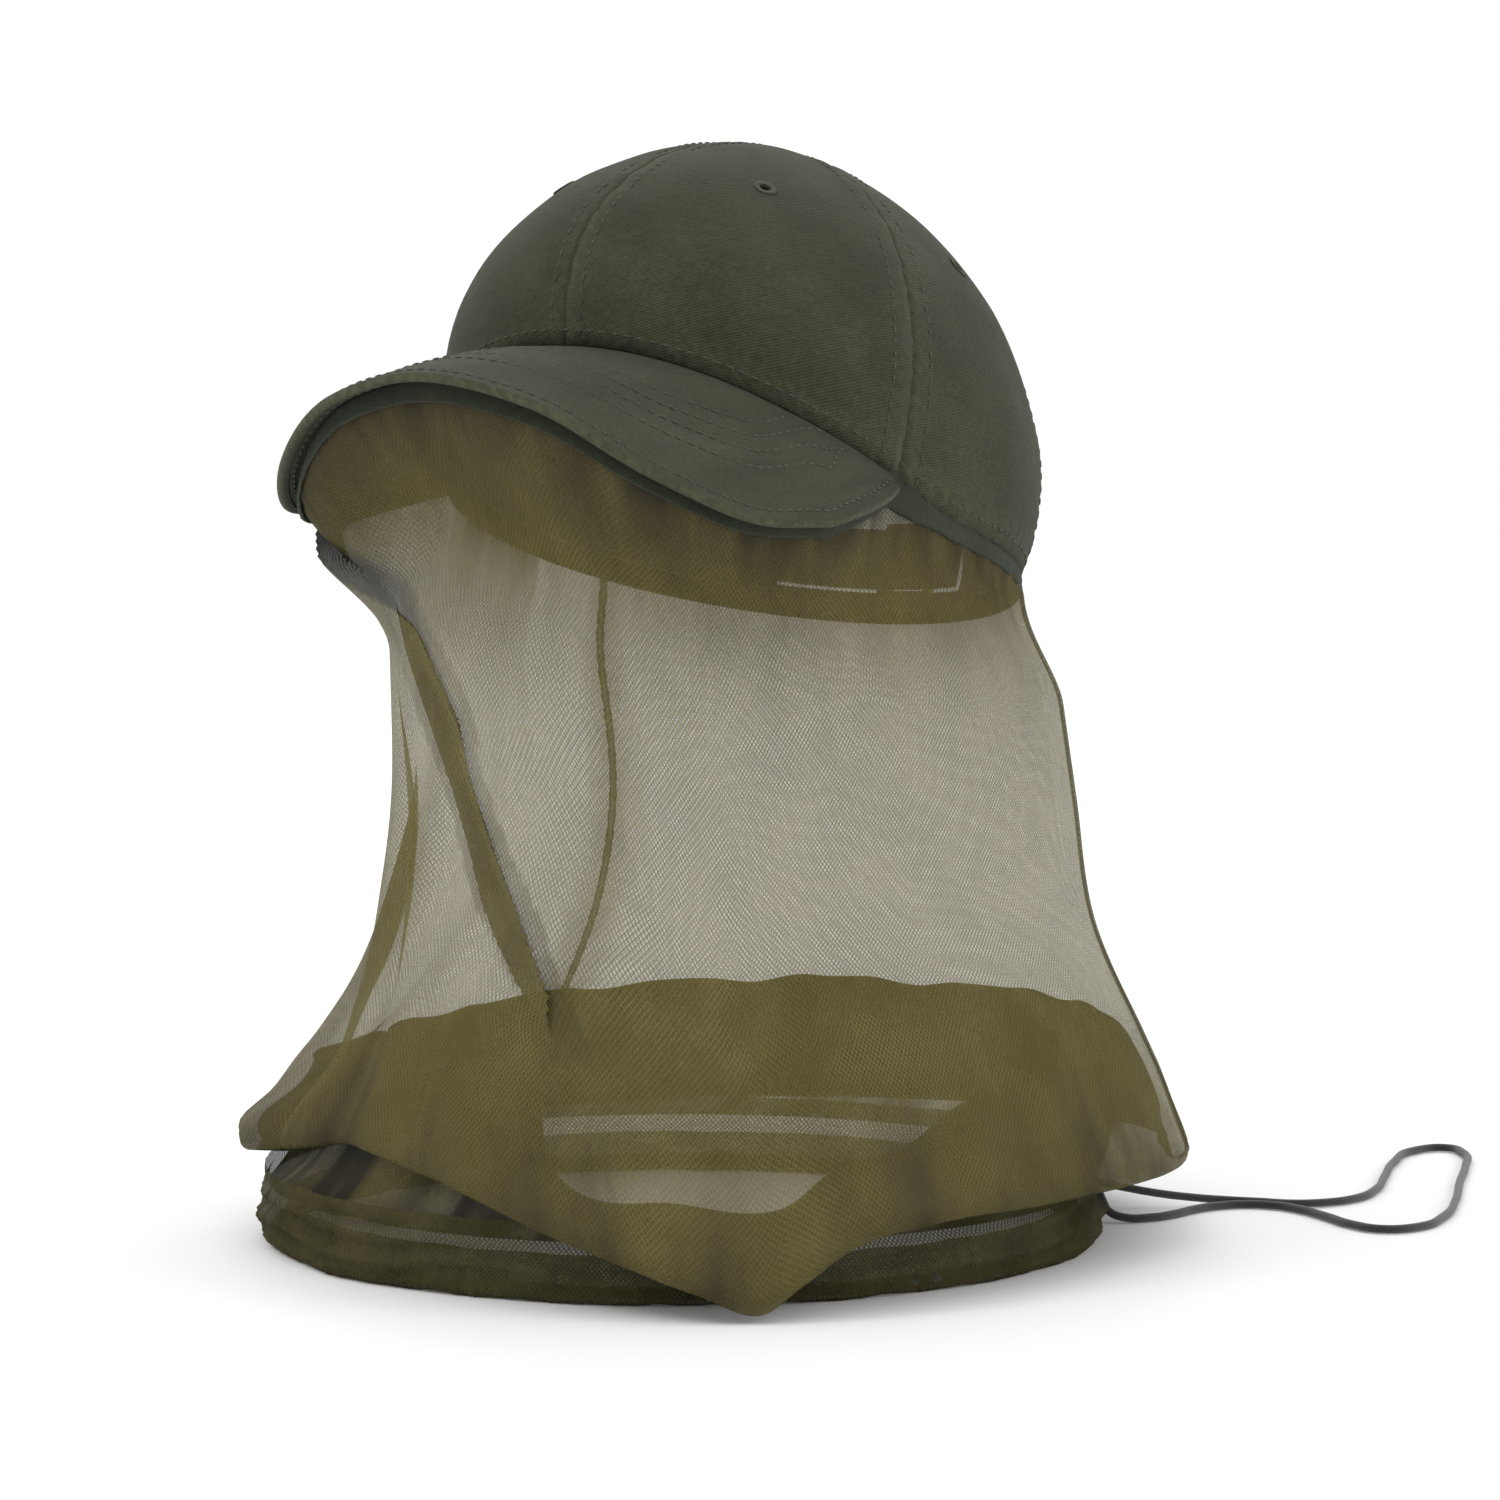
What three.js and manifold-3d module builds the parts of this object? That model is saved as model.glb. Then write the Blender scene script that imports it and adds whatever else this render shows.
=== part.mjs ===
// Beekeeping veil: a six-panel cotton cap whose visor edge and rim carry a net that hangs to the shoulders.
// Millimetres, +Z up. The wearer faces -Y and the wearer's left is +X. The origin is the centre of the cap's
// head opening, where the head holds it. The cap leans back, so it is built square and then turned once.
import * as THREE from 'three';
import { mergeVertices } from 'three/addons/utils/BufferGeometryUtils.js';
import Module from 'manifold-3d';

const wasm = await Module();
wasm.setup();
const { degToRad, clamp, lerp, smoothstep } = THREE.MathUtils;
const rad = degToRad;

// ---- Driving dimensions -------------------------------------------------------------------------------------
const GAP = 0.3;                 // clearance left where two pieces touch

// Cap crown
const HEAD_HALF_WIDTH = 83.5;    // half the rim's width, and the radius of its round back
const RIM_FRONT = 110;           // origin to the front of the rim
const CROWN_HEIGHT = 113;        // rim plane to the top of the crown
const CROWN_LEAN = 6;            // how far the top sits in front of the origin
const CROWN_FULLNESS = 0.36;     // swell of the crown between rim and top
const RIM_ARCH = 24;             // rise of the rim over the forehead
const RIM_ARCH_END = rad(80);    // angle from the front where that rise ends
const CAP_TILT = rad(18);        // the whole cap leans back on the head
const TWILL = 1.1;               // crown cloth with its turned edges
const SIDE_SEAM = rad(66);       // angle from the front of the seams between front and side panels
const REAR_SEAM = rad(123);      // angle from the front of the seams between side and rear panels
const CROWN_EYE = 5;             // radius left open under the button, where the panels meet

// Crown trim
const LINING_GAP = 1.3;          // crown cloth to what lines it, which lies a little slack
const TAPE_WIDTH = 16;           // seam tape inside the crown
const TAPE_THICKNESS = 0.5;
const TAPE_NARROWEST = rad(24);  // half the angle that the tape covers where it nears the button
const TAPE_END = 4;              // crown's eye to the tape's upper end
const TAPE_FOOT = 2;             // sweatband, or opening's facing, to the tape's lower end
const SWEATBAND_HEIGHT = 32;
const SWEATBAND_THICKNESS = 1.8;
const SWEATBAND_LIFT = 0.6;      // rim to the sweatband's lower edge
const SWEATBAND_STOP = rad(8);   // back opening to the sweatband's end
const EYELET_RADIUS = 2.9;       // centreline of the sewn ring
const EYELET_THREAD = 0.85;      // radius of the sewn ring's section
const EYELET_HOLE = 1.9;         // radius of the hole through the cloth
const EYELET_DROP = 30;          // top of the crown down to the eyelets
const BUTTON_RADIUS = 7.5;
const BUTTON_HEIGHT = 2.8;
const BUTTON_EDGE = 0.8;         // height of the button's upright edge
const BUTTON_UNDERCUT = 0.6;     // how far the button's foot stands in from its edge
const RIVET_RADIUS = 1.5;
const RIVET_FLANGE = 5.5;
const RIVET_FLANGE_THICKNESS = 1;
const RIVET_CLEAR = 0.6;         // cloth under the button to the rivet's flange

// Visor
const VISOR_REACH = 68;          // rim to the visor's front edge
const VISOR_OVERHANG = 3.5;      // how far the visor's sides pass the rim's half width
const VISOR_DROP = 29;           // fall from the rim's front to the visor's front edge
const VISOR_DIP = 23;            // how much lower the side lobes hang than the front edge
const VISOR_CAMBER = 2.5;        // swell of the visor between rim and edge
const COVER = 0.5;               // visor cover cloth
const BOARD = 1.2;               // stiff board inside the visor
const COVER_LIP = 3;             // top cover turned in under the edge
const VISOR_CORNER = 3.6;        // width of the visor where it ends at the side seams
const VISOR_SIDE = 0.8;          // share of the half visor after which its edge turns back to the rim

// Back opening and strap
const OPENING_HALF_ANGLE = rad(24);
const OPENING_HEIGHT = 40;
const FACING_WIDTH = 8;          // facing sewn round the back opening
const FACING_SLACK = 0.9;        // how much further in the facing lies than the other linings
const FACING_FOOT = rad(6);      // width of the facing at the rim, as an angle
const FACING_EDGE = 0.04;        // share of its width by which it starts outside the arch
const FACING_LIFT = 0.6;         // rim to the facing's feet
const OPENING_NET_SLACK = 3;     // strap to the net behind it
const OPENING_NET_MARGIN = rad(5); // how far past the opening that net is sewn
const OPENING_NET_LIFT = 1;      // rim to that net's lower edge
const STRAP_WIDTH = 19;
const STRAP_THICKNESS = 1.2;
const STRAP_LIFT = 4;            // rim to the strap's lower edge
const STRAP_END_ANGLE = rad(31); // how far past the back centre the strap is sewn in
const STRAP_TAIL = rad(10);      // strap left past the clasp
const CLASP_ANGLE = rad(7);      // clasp's place, toward the wearer's left
const CLASP_LENGTH = 20;
const CLASP_HEIGHT = 24;
const CLASP_WALL = 2.5;
const CLASP_THICKNESS = 3;
const PIN_RADIUS = 0.8;
const LEVER_BARREL = 1.8;        // radius of the lever's eye round the pin
const LEVER_PLATE = 1.4;
const LEVER_END_GAP = 1;         // lever's ends to the pin's ends

// Net
const NET = 0.9;                 // thickness that stands for the net and its folds
const TAPE_DROP = 5.5;           // height of the tape that joins net to cap
const TAPE_BODY = 1;             // thickness of that tape
const TAPE_INSET = 6.5;          // visor edge to the tape below it
const NET_START = 1.3;           // tape to the net's upper edge
const NET_HELD = 0.26;           // share of the net's fall over which the tape still holds it in
const NET_SEAM = rad(118);       // angle from the front of the two rolled side seams
const NET_SEAM_WIDTH = 3.4;
const NET_FOLD_LEVEL = -186;     // lower fold of the slumped net
const FRONT_CORNER_ANGLE = rad(31);
const FRONT_CORNER_SPREAD = rad(26);
const FRONT_CORNER_DROP = 20;    // how far the fold's front corner hangs below the rest
const FRONT_CORNER_REACH = 12;   // how far that corner stands out
const FOLD_RADIUS = 3.5;         // roundness of the lower fold

// Hem, elastic and draw loop
const HEM_TOP = -190;
const HEM_BOTTOM = -210;
const HEM_HALF_LENGTH = 121;
const HEM_HALF_WIDTH = 120;
const HEM_TURN = rad(31.5);      // the hem's long axis, turned from +X toward +Y
const HEM_CENTRE = [-16, -10];
const HEM_THICKNESS = 7;
const HEM_LINING = 13;           // height of the hem's inner turning
const ELASTIC_SLACK = 0.2;       // added under the elastic, whose casing is round and not flat
const ELASTIC_RADIUS = 1.9;
const CORD_RADIUS = 1.25;
const PATCH_HEIGHT = 10;         // stitched patch where the draw loop leaves the hem
const PATCH_HALF_ANGLE = rad(7);
const PATCH_ANGLE = rad(135);    // its place, from the front toward the wearer's left
const PATCH_THICKNESS = 0.6;
const PATCH_LEVEL = -200;

// ---- Materials ----------------------------------------------------------------------------------------------
const cloth = (color, roughness = 0.9, extra = {}) =>
  new THREE.MeshStandardMaterial({ color, roughness, metalness: 0, ...extra });
const MATERIALS = {
  twill: cloth('#3e4334'),
  twillTape: cloth('#34382c'),
  sweatband: cloth('#3a3f31'),
  board: cloth('#22251f', 0.6),
  thread: cloth('#4a4f3d', 0.8),
  net: cloth('#6d6549', 0.8, { transparent: true, opacity: 0.55 }),
  netDense: cloth('#5c563c', 0.85),
  elastic: cloth('#24261f', 0.7),
  cord: cloth('#16171a', 0.6),
  brass: new THREE.MeshStandardMaterial({ color: '#7c735c', roughness: 0.35, metalness: 1 }),
};

// ---- Bodies from grids of points ----------------------------------------------------------------------------
function bodyFrom(points, triangles) {
  const geometry = new THREE.BufferGeometry();
  geometry.setAttribute('position', new THREE.Float32BufferAttribute(points.flatMap((p) => [p.x, p.y, p.z]), 3));
  geometry.setIndex(triangles);
  return geometry;
}

// A sheet with thickness: two grids of the same size, the outer face and the inner face, joined at open edges.
// Rows run along the first index and columns along the second; around says that the columns close on themselves.
function sheetBody(outer, inner, around = false) {
  const rows = outer.length;
  const columns = outer[0].length;
  const points = [...outer.flat(), ...inner.flat()];
  const triangles = [];
  const id = (face, row, column) => face * rows * columns + row * columns + (column % columns);
  const quad = (a, b, c, d) => triangles.push(a, b, c, a, c, d);
  const lastColumn = around ? columns : columns - 1;
  for (let r = 0; r < rows - 1; r++) {
    for (let c = 0; c < lastColumn; c++) {
      quad(id(0, r, c), id(0, r, c + 1), id(0, r + 1, c + 1), id(0, r + 1, c));
      quad(id(1, r, c), id(1, r + 1, c), id(1, r + 1, c + 1), id(1, r, c + 1));
    }
  }
  for (let c = 0; c < lastColumn; c++) {
    quad(id(0, 0, c), id(1, 0, c), id(1, 0, c + 1), id(0, 0, c + 1));
    quad(id(0, rows - 1, c), id(0, rows - 1, c + 1), id(1, rows - 1, c + 1), id(1, rows - 1, c));
  }
  if (!around) {
    for (let r = 0; r < rows - 1; r++) {
      quad(id(0, r, 0), id(0, r + 1, 0), id(1, r + 1, 0), id(1, r, 0));
      quad(id(0, r, columns - 1), id(1, r, columns - 1), id(1, r + 1, columns - 1), id(0, r + 1, columns - 1));
    }
  }
  return facingOut(bodyFrom(points, triangles));
}

// Turns a closed body's faces outward where its signed volume says that they point in.
function facingOut(geometry) {
  const p = geometry.getAttribute('position');
  const index = geometry.getIndex();
  const [a, b, c] = [new THREE.Vector3(), new THREE.Vector3(), new THREE.Vector3()];
  let volume = 0;
  for (let i = 0; i < index.count; i += 3) {
    a.fromBufferAttribute(p, index.getX(i));
    b.fromBufferAttribute(p, index.getX(i + 1));
    c.fromBufferAttribute(p, index.getX(i + 2));
    volume += a.dot(b.cross(c));
  }
  if (volume < 0) {
    for (let i = 0; i < index.count; i += 3) {
      const keep = index.getX(i + 1);
      index.setX(i + 1, index.getX(i + 2));
      index.setX(i + 2, keep);
    }
  }
  return geometry;
}

// A closed ring of round section along a loop of centres in a nearly level plane.
function ringBody(centres, radius, sides) {
  const count = centres.length;
  const points = [];
  const triangles = [];
  centres.forEach((centre, i) => {
    const ahead = centres[(i + 1) % count].clone().sub(centres[(i + count - 1) % count]).setZ(0).normalize();
    const side = new THREE.Vector3(ahead.y, -ahead.x, 0);
    for (let k = 0; k < sides; k++) {
      const angle = (k / sides) * 2 * Math.PI;
      points.push(centre.clone().addScaledVector(side, radius * Math.cos(angle))
        .add(new THREE.Vector3(0, 0, radius * Math.sin(angle))));
    }
  });
  for (let i = 0; i < count; i++) {
    for (let k = 0; k < sides; k++) {
      const [i2, k2] = [(i + 1) % count, (k + 1) % sides];
      triangles.push(i * sides + k, i2 * sides + k, i2 * sides + k2);
      triangles.push(i * sides + k, i2 * sides + k2, i * sides + k2);
    }
  }
  return facingOut(bodyFrom(points, triangles));
}

// ---- Joining and cutting ------------------------------------------------------------------------------------
function toSolid(geometry) {
  const bare = geometry.clone();
  bare.deleteAttribute('normal');
  bare.deleteAttribute('uv');
  const merged = mergeVertices(bare, 1e-5);
  return new wasm.Manifold(new wasm.Mesh({
    numProp: 3,
    vertProperties: new Float32Array(merged.getAttribute('position').array),
    triVerts: new Uint32Array(merged.getIndex().array),
  }));
}

function toGeometry(solid) {
  const mesh = solid.getMesh();
  const geometry = new THREE.BufferGeometry();
  geometry.setAttribute('position', new THREE.BufferAttribute(mesh.vertProperties, 3));
  geometry.setIndex(new THREE.BufferAttribute(mesh.triVerts, 1));
  return geometry;
}

// ---- The crown's surface ------------------------------------------------------------------------------------
// angle runs from the front toward the wearer's left; level runs from 0 at the rim to 1 at the top.
function rimHeight(angle) {
  const end = Math.cos(RIM_ARCH_END);
  return RIM_ARCH * clamp((Math.cos(angle) - end) / (1 - end), 0, 1) ** 1.15;
}

function crownPoint(angle, level) {
  const share = Math.sin((level * Math.PI) / 2);
  const width = Math.sqrt(Math.max(0, 1 - share ** 1.8)) * (1 + CROWN_FULLNESS * share * (1 - share));
  const reach = Math.cos(angle) > 0 ? RIM_FRONT : HEAD_HALF_WIDTH;
  const base = rimHeight(angle);
  return new THREE.Vector3(
    HEAD_HALF_WIDTH * Math.sin(angle) * width,
    -reach * Math.cos(angle) * width - CROWN_LEAN * share,
    base + share * (CROWN_HEIGHT - base),
  );
}

function crownNormal(angle, level) {
  const step = 1e-3;
  const near = Math.min(level, 1 - 3 * step);
  const across = crownPoint(angle + step, near).sub(crownPoint(angle - step, near));
  const up = crownPoint(angle, near + step).sub(crownPoint(angle, Math.max(0, near - step)));
  return across.cross(up).normalize();
}

const insideCrown = (angle, level, depth) =>
  crownPoint(angle, level).addScaledVector(crownNormal(angle, level), -depth);

// Level at which the crown reaches a height above the rim plane, at one angle.
function levelAt(angle, height) {
  const base = rimHeight(angle);
  return (2 / Math.PI) * Math.asin(clamp((height - base) / (CROWN_HEIGHT - base), 0, 1));
}

// Level at which the crown has drawn in to a distance from its centre line, at one angle.
function levelAtRadius(angle, radius) {
  let [low, high] = [0.5, 1];
  for (let i = 0; i < 30; i++) {
    const middle = (low + high) / 2;
    const p = crownPoint(angle, middle);
    const out = Math.hypot(p.x, p.y + CROWN_LEAN * Math.sin((middle * Math.PI) / 2));
    if (out > radius) low = middle; else high = middle;
  }
  return low;
}

const fromBack = (angle) => Math.abs(((angle % (2 * Math.PI)) + 2 * Math.PI) % (2 * Math.PI) - Math.PI);

// Height of the cloth's lower edge: the rim, or the arch of the back opening.
function lowerEdge(angle) {
  const off = fromBack(angle) / OPENING_HALF_ANGLE;
  return off < 1 ? OPENING_HEIGHT * Math.sqrt(1 - off * off) : rimHeight(angle);
}

const spread = (from, to, steps) => Array.from({ length: steps + 1 }, (_, i) => lerp(from, to, i / steps));

// A piece that follows the crown: rows of levels, each with its own angles, between two depths inside it.
function crownSheet(rows, outerDepth, innerDepth) {
  const grid = (depth) => rows.map((row) => row.map(([angle, level]) => insideCrown(angle, level, depth)));
  return sheetBody(grid(outerDepth), grid(innerDepth));
}

// ---- The cap, in its own square frame -----------------------------------------------------------------------
const cap = new THREE.Group();
cap.rotation.x = -CAP_TILT;

const model = new THREE.Group();
model.add(cap);

function place(parent, name, geometry, material) {
  const mesh = new THREE.Mesh(geometry, material);
  mesh.name = name;
  parent.add(mesh);
  return mesh;
}

const SEAMS = [0, SIDE_SEAM, REAR_SEAM, Math.PI, 2 * Math.PI - REAR_SEAM, 2 * Math.PI - SIDE_SEAM, 2 * Math.PI];
const PANEL_NAMES = ['front_left', 'side_left', 'rear_left', 'rear_right', 'side_right', 'front_right'];

// Turns a mesh so that its +Z points along a direction, at a place.
function aim(mesh, at, direction) {
  mesh.position.copy(at);
  mesh.quaternion.setFromUnitVectors(new THREE.Vector3(0, 0, 1), direction);
}

function eyeletPlace(index) {
  const middle = (SEAMS[index] + SEAMS[index + 1]) / 2;
  return { angle: middle, level: levelAt(middle, CROWN_HEIGHT - EYELET_DROP) };
}

// Shares of a panel's width that its columns stand at: closer together over the arch of the back opening.
function panelColumns(index) {
  const arch = OPENING_HALF_ANGLE / (Math.PI - REAR_SEAM);
  if (index !== 2 && index !== 3) return spread(0, 1, 8);
  const plain = spread(0, 1 - arch, 4);
  const curved = spread(0, Math.PI / 2, 6).slice(1).map((turn) => 1 - arch * Math.cos(turn));
  const list = [...plain, ...curved];
  return index === 2 ? list : list.map((share) => 1 - share).reverse();
}

// One gore of the crown, from its lower edge to the opening under the button, with its eyelet's hole.
function crownPanel(index) {
  const rows = [];
  const columns = panelColumns(index);
  const steps = 9;
  for (let r = 0; r <= steps; r++) {
    const row = [];
    for (const share of columns) {
      let angle = lerp(SEAMS[index], SEAMS[index + 1], share);
      const start = levelAt(angle, lowerEdge(angle));
      const level = lerp(start, levelAtRadius(angle, CROWN_EYE), (r / steps) ** 0.9);
      const p = crownPoint(angle, level);
      const out = Math.hypot(p.x, p.y + CROWN_LEAN);
      angle += (GAP / 2 / Math.max(out, CROWN_EYE)) * (1 - 2 * share);
      row.push([angle, level]);
    }
    rows.push(row);
  }
  const { angle, level } = eyeletPlace(index);
  const drill = new THREE.Mesh(new THREE.CylinderGeometry(EYELET_HOLE, EYELET_HOLE, 6 * TWILL, 12).rotateX(Math.PI / 2));
  aim(drill, insideCrown(angle, level, TWILL / 2), crownNormal(angle, level));
  drill.updateMatrix();
  const hole = toSolid(drill.geometry.clone().applyMatrix4(drill.matrix));
  return toGeometry(toSolid(crownSheet(rows, 0, TWILL)).subtract(hole));
}

PANEL_NAMES.forEach((side, index) => {
  place(cap, `crown_panel_${side}`, crownPanel(index), MATERIALS.twill);
  const { angle, level } = eyeletPlace(index);
  const ring = place(cap, `eyelet_${side}`, new THREE.TorusGeometry(EYELET_RADIUS, EYELET_THREAD, 5, 12),
    MATERIALS.thread);
  aim(ring, insideCrown(angle, level, -EYELET_THREAD - GAP), crownNormal(angle, level));
});

// Tapes sewn over the seams inside, from the sweatband to the button.
const LINING_DEPTH = TWILL + LINING_GAP;
const FACING_DEPTH = LINING_DEPTH + FACING_SLACK;
const strapRadius = HEAD_HALF_WIDTH - FACING_DEPTH - TAPE_THICKNESS - GAP;
const TAPE_NAMES = ['front', 'side_left', 'rear_left', 'back', 'rear_right', 'side_right'];
TAPE_NAMES.forEach((side, index) => {
  const seam = SEAMS[index];
  const overOpening = OPENING_HEIGHT + FACING_WIDTH;
  const foot = Math.max(rimHeight(seam) + SWEATBAND_HEIGHT, side === 'back' ? overOpening : 0) + TAPE_FOOT;
  const rows = spread(levelAt(seam, foot), levelAtRadius(seam, CROWN_EYE + TAPE_END), 9).map((level) => {
    const p = crownPoint(seam, level);
    const half = Math.min(TAPE_WIDTH / 2 / Math.hypot(p.x, p.y + CROWN_LEAN), TAPE_NARROWEST);
    return [-half, 0, half].map((turn) => [seam + turn, level]);
  });
  place(cap, `seam_tape_${side}`, crownSheet(rows, LINING_DEPTH, LINING_DEPTH + TAPE_THICKNESS), MATERIALS.twillTape);
});

// The sweatband lines the rim and stops on each side of the back opening.
{
  const end = Math.PI - OPENING_HALF_ANGLE - SWEATBAND_STOP;
  const rows = [SWEATBAND_LIFT, SWEATBAND_HEIGHT / 2, SWEATBAND_HEIGHT].map((lift) =>
    spread(-end, end, 36).map((angle) => [angle, levelAt(angle, rimHeight(angle) + lift)]));
  place(cap, 'sweatband', crownSheet(rows, LINING_DEPTH, LINING_DEPTH + SWEATBAND_THICKNESS), MATERIALS.sweatband);
}

// Facing sewn inside round the arch of the back opening.
{
  const turns = spread(-Math.PI / 2, Math.PI / 2, 18);
  const rows = [FACING_EDGE, 0.5, 1].map((side) => turns.map((turn) => {
    const grow = 1 + (side * FACING_WIDTH) / OPENING_HEIGHT;
    const widen = OPENING_HALF_ANGLE + side * FACING_FOOT;
    const angle = Math.PI + widen * Math.sin(turn);
    const height = Math.max(FACING_LIFT, OPENING_HEIGHT * grow * Math.cos(turn));
    return [angle, levelAt(angle, height)];
  }));
  place(cap, 'back_opening_facing', crownSheet(rows, FACING_DEPTH, FACING_DEPTH + TAPE_THICKNESS),
    MATERIALS.twillTape);
}

// Net sewn behind the back opening, inside the strap, so that nothing flies in there.
{
  const behind = HEAD_HALF_WIDTH - strapRadius + STRAP_THICKNESS + OPENING_NET_SLACK;
  const end = OPENING_HALF_ANGLE + OPENING_NET_MARGIN;
  const rows = spread(OPENING_NET_LIFT, OPENING_HEIGHT + FACING_WIDTH, 5).map((height) =>
    spread(Math.PI - end, Math.PI + end, 8).map((angle) => [angle, levelAt(angle, height)]));
  place(cap, 'opening_net', crownSheet(rows, behind, behind + TAPE_THICKNESS), MATERIALS.net);
}

// Button on top, riveted through the meeting point of the panels.
{
  const top = new THREE.Vector3(0, -CROWN_LEAN, CROWN_HEIGHT);
  const turned = (outline) => new THREE.LatheGeometry(outline.map(([r, z]) => new THREE.Vector2(r, z)), 16)
    .rotateX(Math.PI / 2);
  const swell = spread(0, Math.PI / 2, 5).slice(0, -1).map((turn) =>
    [BUTTON_RADIUS * Math.cos(turn), GAP + BUTTON_EDGE + (BUTTON_HEIGHT - BUTTON_EDGE) * Math.sin(turn)]);
  const dome = [[0, GAP], [BUTTON_RADIUS - BUTTON_UNDERCUT, GAP], ...swell, [0, GAP + BUTTON_HEIGHT]];
  place(cap, 'top_button', turned(dome), MATERIALS.twill).position.copy(top);
  const flangeTop = -TWILL - GAP - RIVET_CLEAR;
  const flangeFoot = flangeTop - RIVET_FLANGE_THICKNESS;
  const rivet = [[0, flangeFoot], [RIVET_FLANGE, flangeFoot], [RIVET_FLANGE, flangeTop], [RIVET_RADIUS, flangeTop],
    [RIVET_RADIUS, 0], [0, 0]];
  place(cap, 'button_rivet', turned(rivet), MATERIALS.brass).position.copy(top);
}

// ---- Visor --------------------------------------------------------------------------------------------------
// across runs from -1 at the wearer's right corner to 1 at the left; out runs from 0 at the rim to 1 at the edge.
const VISOR_STACK = 2 * COVER + BOARD + 2 * GAP;
const cornerPoint = crownPoint(SIDE_SEAM, 0);
const VISOR_OUTLINE = new THREE.CatmullRomCurve3([
  // shares of the visor's half width, of its reach past the corners, and of its dip
  [-1, 0.36, 0.7], [-0.91, 0.58, 1], [-0.72, 0.78, 0.8], [-0.38, 0.95, 0.22],
  [0, 1, 0],
  [0.38, 0.95, 0.22], [0.72, 0.78, 0.8], [0.91, 0.58, 1], [1, 0.36, 0.7],
].map(([x, y, z]) => new THREE.Vector3(x, y, z)));

function visorEdge(across) {
  const halfWidth = HEAD_HALF_WIDTH + VISOR_OVERHANG;
  const reach = RIM_FRONT + VISOR_REACH + cornerPoint.y;
  const front = rimHeight(0) - VISOR_DROP;
  const side = Math.abs(across);
  const s = VISOR_OUTLINE.getPoint(0.5 + (0.5 * Math.min(side, VISOR_SIDE)) / VISOR_SIDE);
  const edge = new THREE.Vector3(s.x * halfWidth, cornerPoint.y - s.y * reach, front - s.z * VISOR_DIP);
  if (side > VISOR_SIDE) {
    const corner = cornerPoint.clone().add(new THREE.Vector3(VISOR_CORNER, -VISOR_CORNER, -VISOR_CORNER));
    const bend = new THREE.Vector3(halfWidth, lerp(edge.y, corner.y, 0.7), lerp(edge.z, corner.z, 0.62));
    const tip = new THREE.QuadraticBezierCurve3(edge, bend, corner);
    edge.copy(tip.getPoint((side - VISOR_SIDE) / (1 - VISOR_SIDE)));
  }
  edge.x *= Math.sign(across) || 1;
  return edge;
}

function visorPoint(across, out) {
  const root = insideCrown(across * SIDE_SEAM, 0, TWILL / 2).add(new THREE.Vector3(0, 0, -GAP));
  const p = root.lerp(visorEdge(across), out);
  p.z += VISOR_CAMBER * Math.sin(Math.PI * out) * (1 - across * across);
  return p;
}

function visorFrame(across, out) {
  const step = 1e-3;
  const along = visorPoint(Math.min(across + step, 1), out).sub(visorPoint(Math.max(across - step, -1), out));
  const outward = visorPoint(across, Math.min(out + step, 1)).sub(visorPoint(across, Math.max(out - step, 0)));
  const up = outward.clone().cross(along).normalize();
  if (up.z < 0) up.negate();
  return { up, outward: outward.normalize() };
}

const visorDepth = (across, out, depth) =>
  visorPoint(across, out).addScaledVector(visorFrame(across, out).up, -depth);
const VISOR_ACROSS = spread(-0.985, 0.985, 28);
const edgeLength = (across) => visorPoint(across, 0).distanceTo(visorPoint(across, 1));

// Flat layers of the visor stop a little inside its edge.
function visorLayer(depth, thickness, inset) {
  const grid = (d) => VISOR_ACROSS.map((across) => {
    const last = 1 - inset / edgeLength(across);
    return spread(0, last, 4).map((out) => visorDepth(across, out, d));
  });
  return sheetBody(grid(depth), grid(depth + thickness));
}

// The top cover runs over the edge and is turned in below it.
function visorTopCover() {
  const radius = VISOR_STACK / 2;
  const grid = (d) => VISOR_ACROSS.map((across) => {
    const last = 1 - radius / edgeLength(across);
    const row = spread(0, last, 4).map((out) => visorDepth(across, out, d));
    const { up, outward } = visorFrame(across, last);
    const centre = visorDepth(across, last, radius);
    spread(Math.PI / 3, -Math.PI / 2, 4).forEach((turn) => {
      row.push(centre.clone().addScaledVector(outward, (radius - d) * Math.cos(turn))
        .addScaledVector(up, (radius - d) * Math.sin(turn)));
    });
    row.push(centre.clone().addScaledVector(outward, radius - COVER_LIP).addScaledVector(up, d - radius));
    return row;
  });
  return sheetBody(grid(0), grid(COVER));
}

place(cap, 'visor_top_cover', visorTopCover(), MATERIALS.twill);
place(cap, 'visor_board', visorLayer(COVER + GAP, BOARD, COVER + GAP + 1), MATERIALS.board);
place(cap, 'visor_bottom_cover', visorLayer(VISOR_STACK - COVER, COVER, COVER_LIP + GAP), MATERIALS.twill);

// ---- Strap and clasp at the back ----------------------------------------------------------------------------
// angle here runs from the back centre toward the wearer's left.

function backBand(from, to, steps, radius, thickness, bottom, height) {
  const grid = (r) => [bottom, bottom + height].map((z) => spread(from, to, steps).map((angle) =>
    new THREE.Vector3(r * Math.sin(angle), r * Math.cos(angle), z)));
  return sheetBody(grid(radius), grid(radius - thickness));
}

const claspHalfAngle = CLASP_LENGTH / 2 / strapRadius;
const claspCentre = new THREE.Group();
claspCentre.rotation.z = -CLASP_ANGLE;
cap.add(claspCentre);

// The long strap is sewn in at the wearer's right and runs through the clasp, under the rear left panel.
place(cap, 'adjuster_strap', backBand(-STRAP_END_ANGLE, CLASP_ANGLE + claspHalfAngle + STRAP_TAIL, 18, strapRadius,
  STRAP_THICKNESS, STRAP_LIFT, STRAP_WIDTH), MATERIALS.twillTape);

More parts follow.
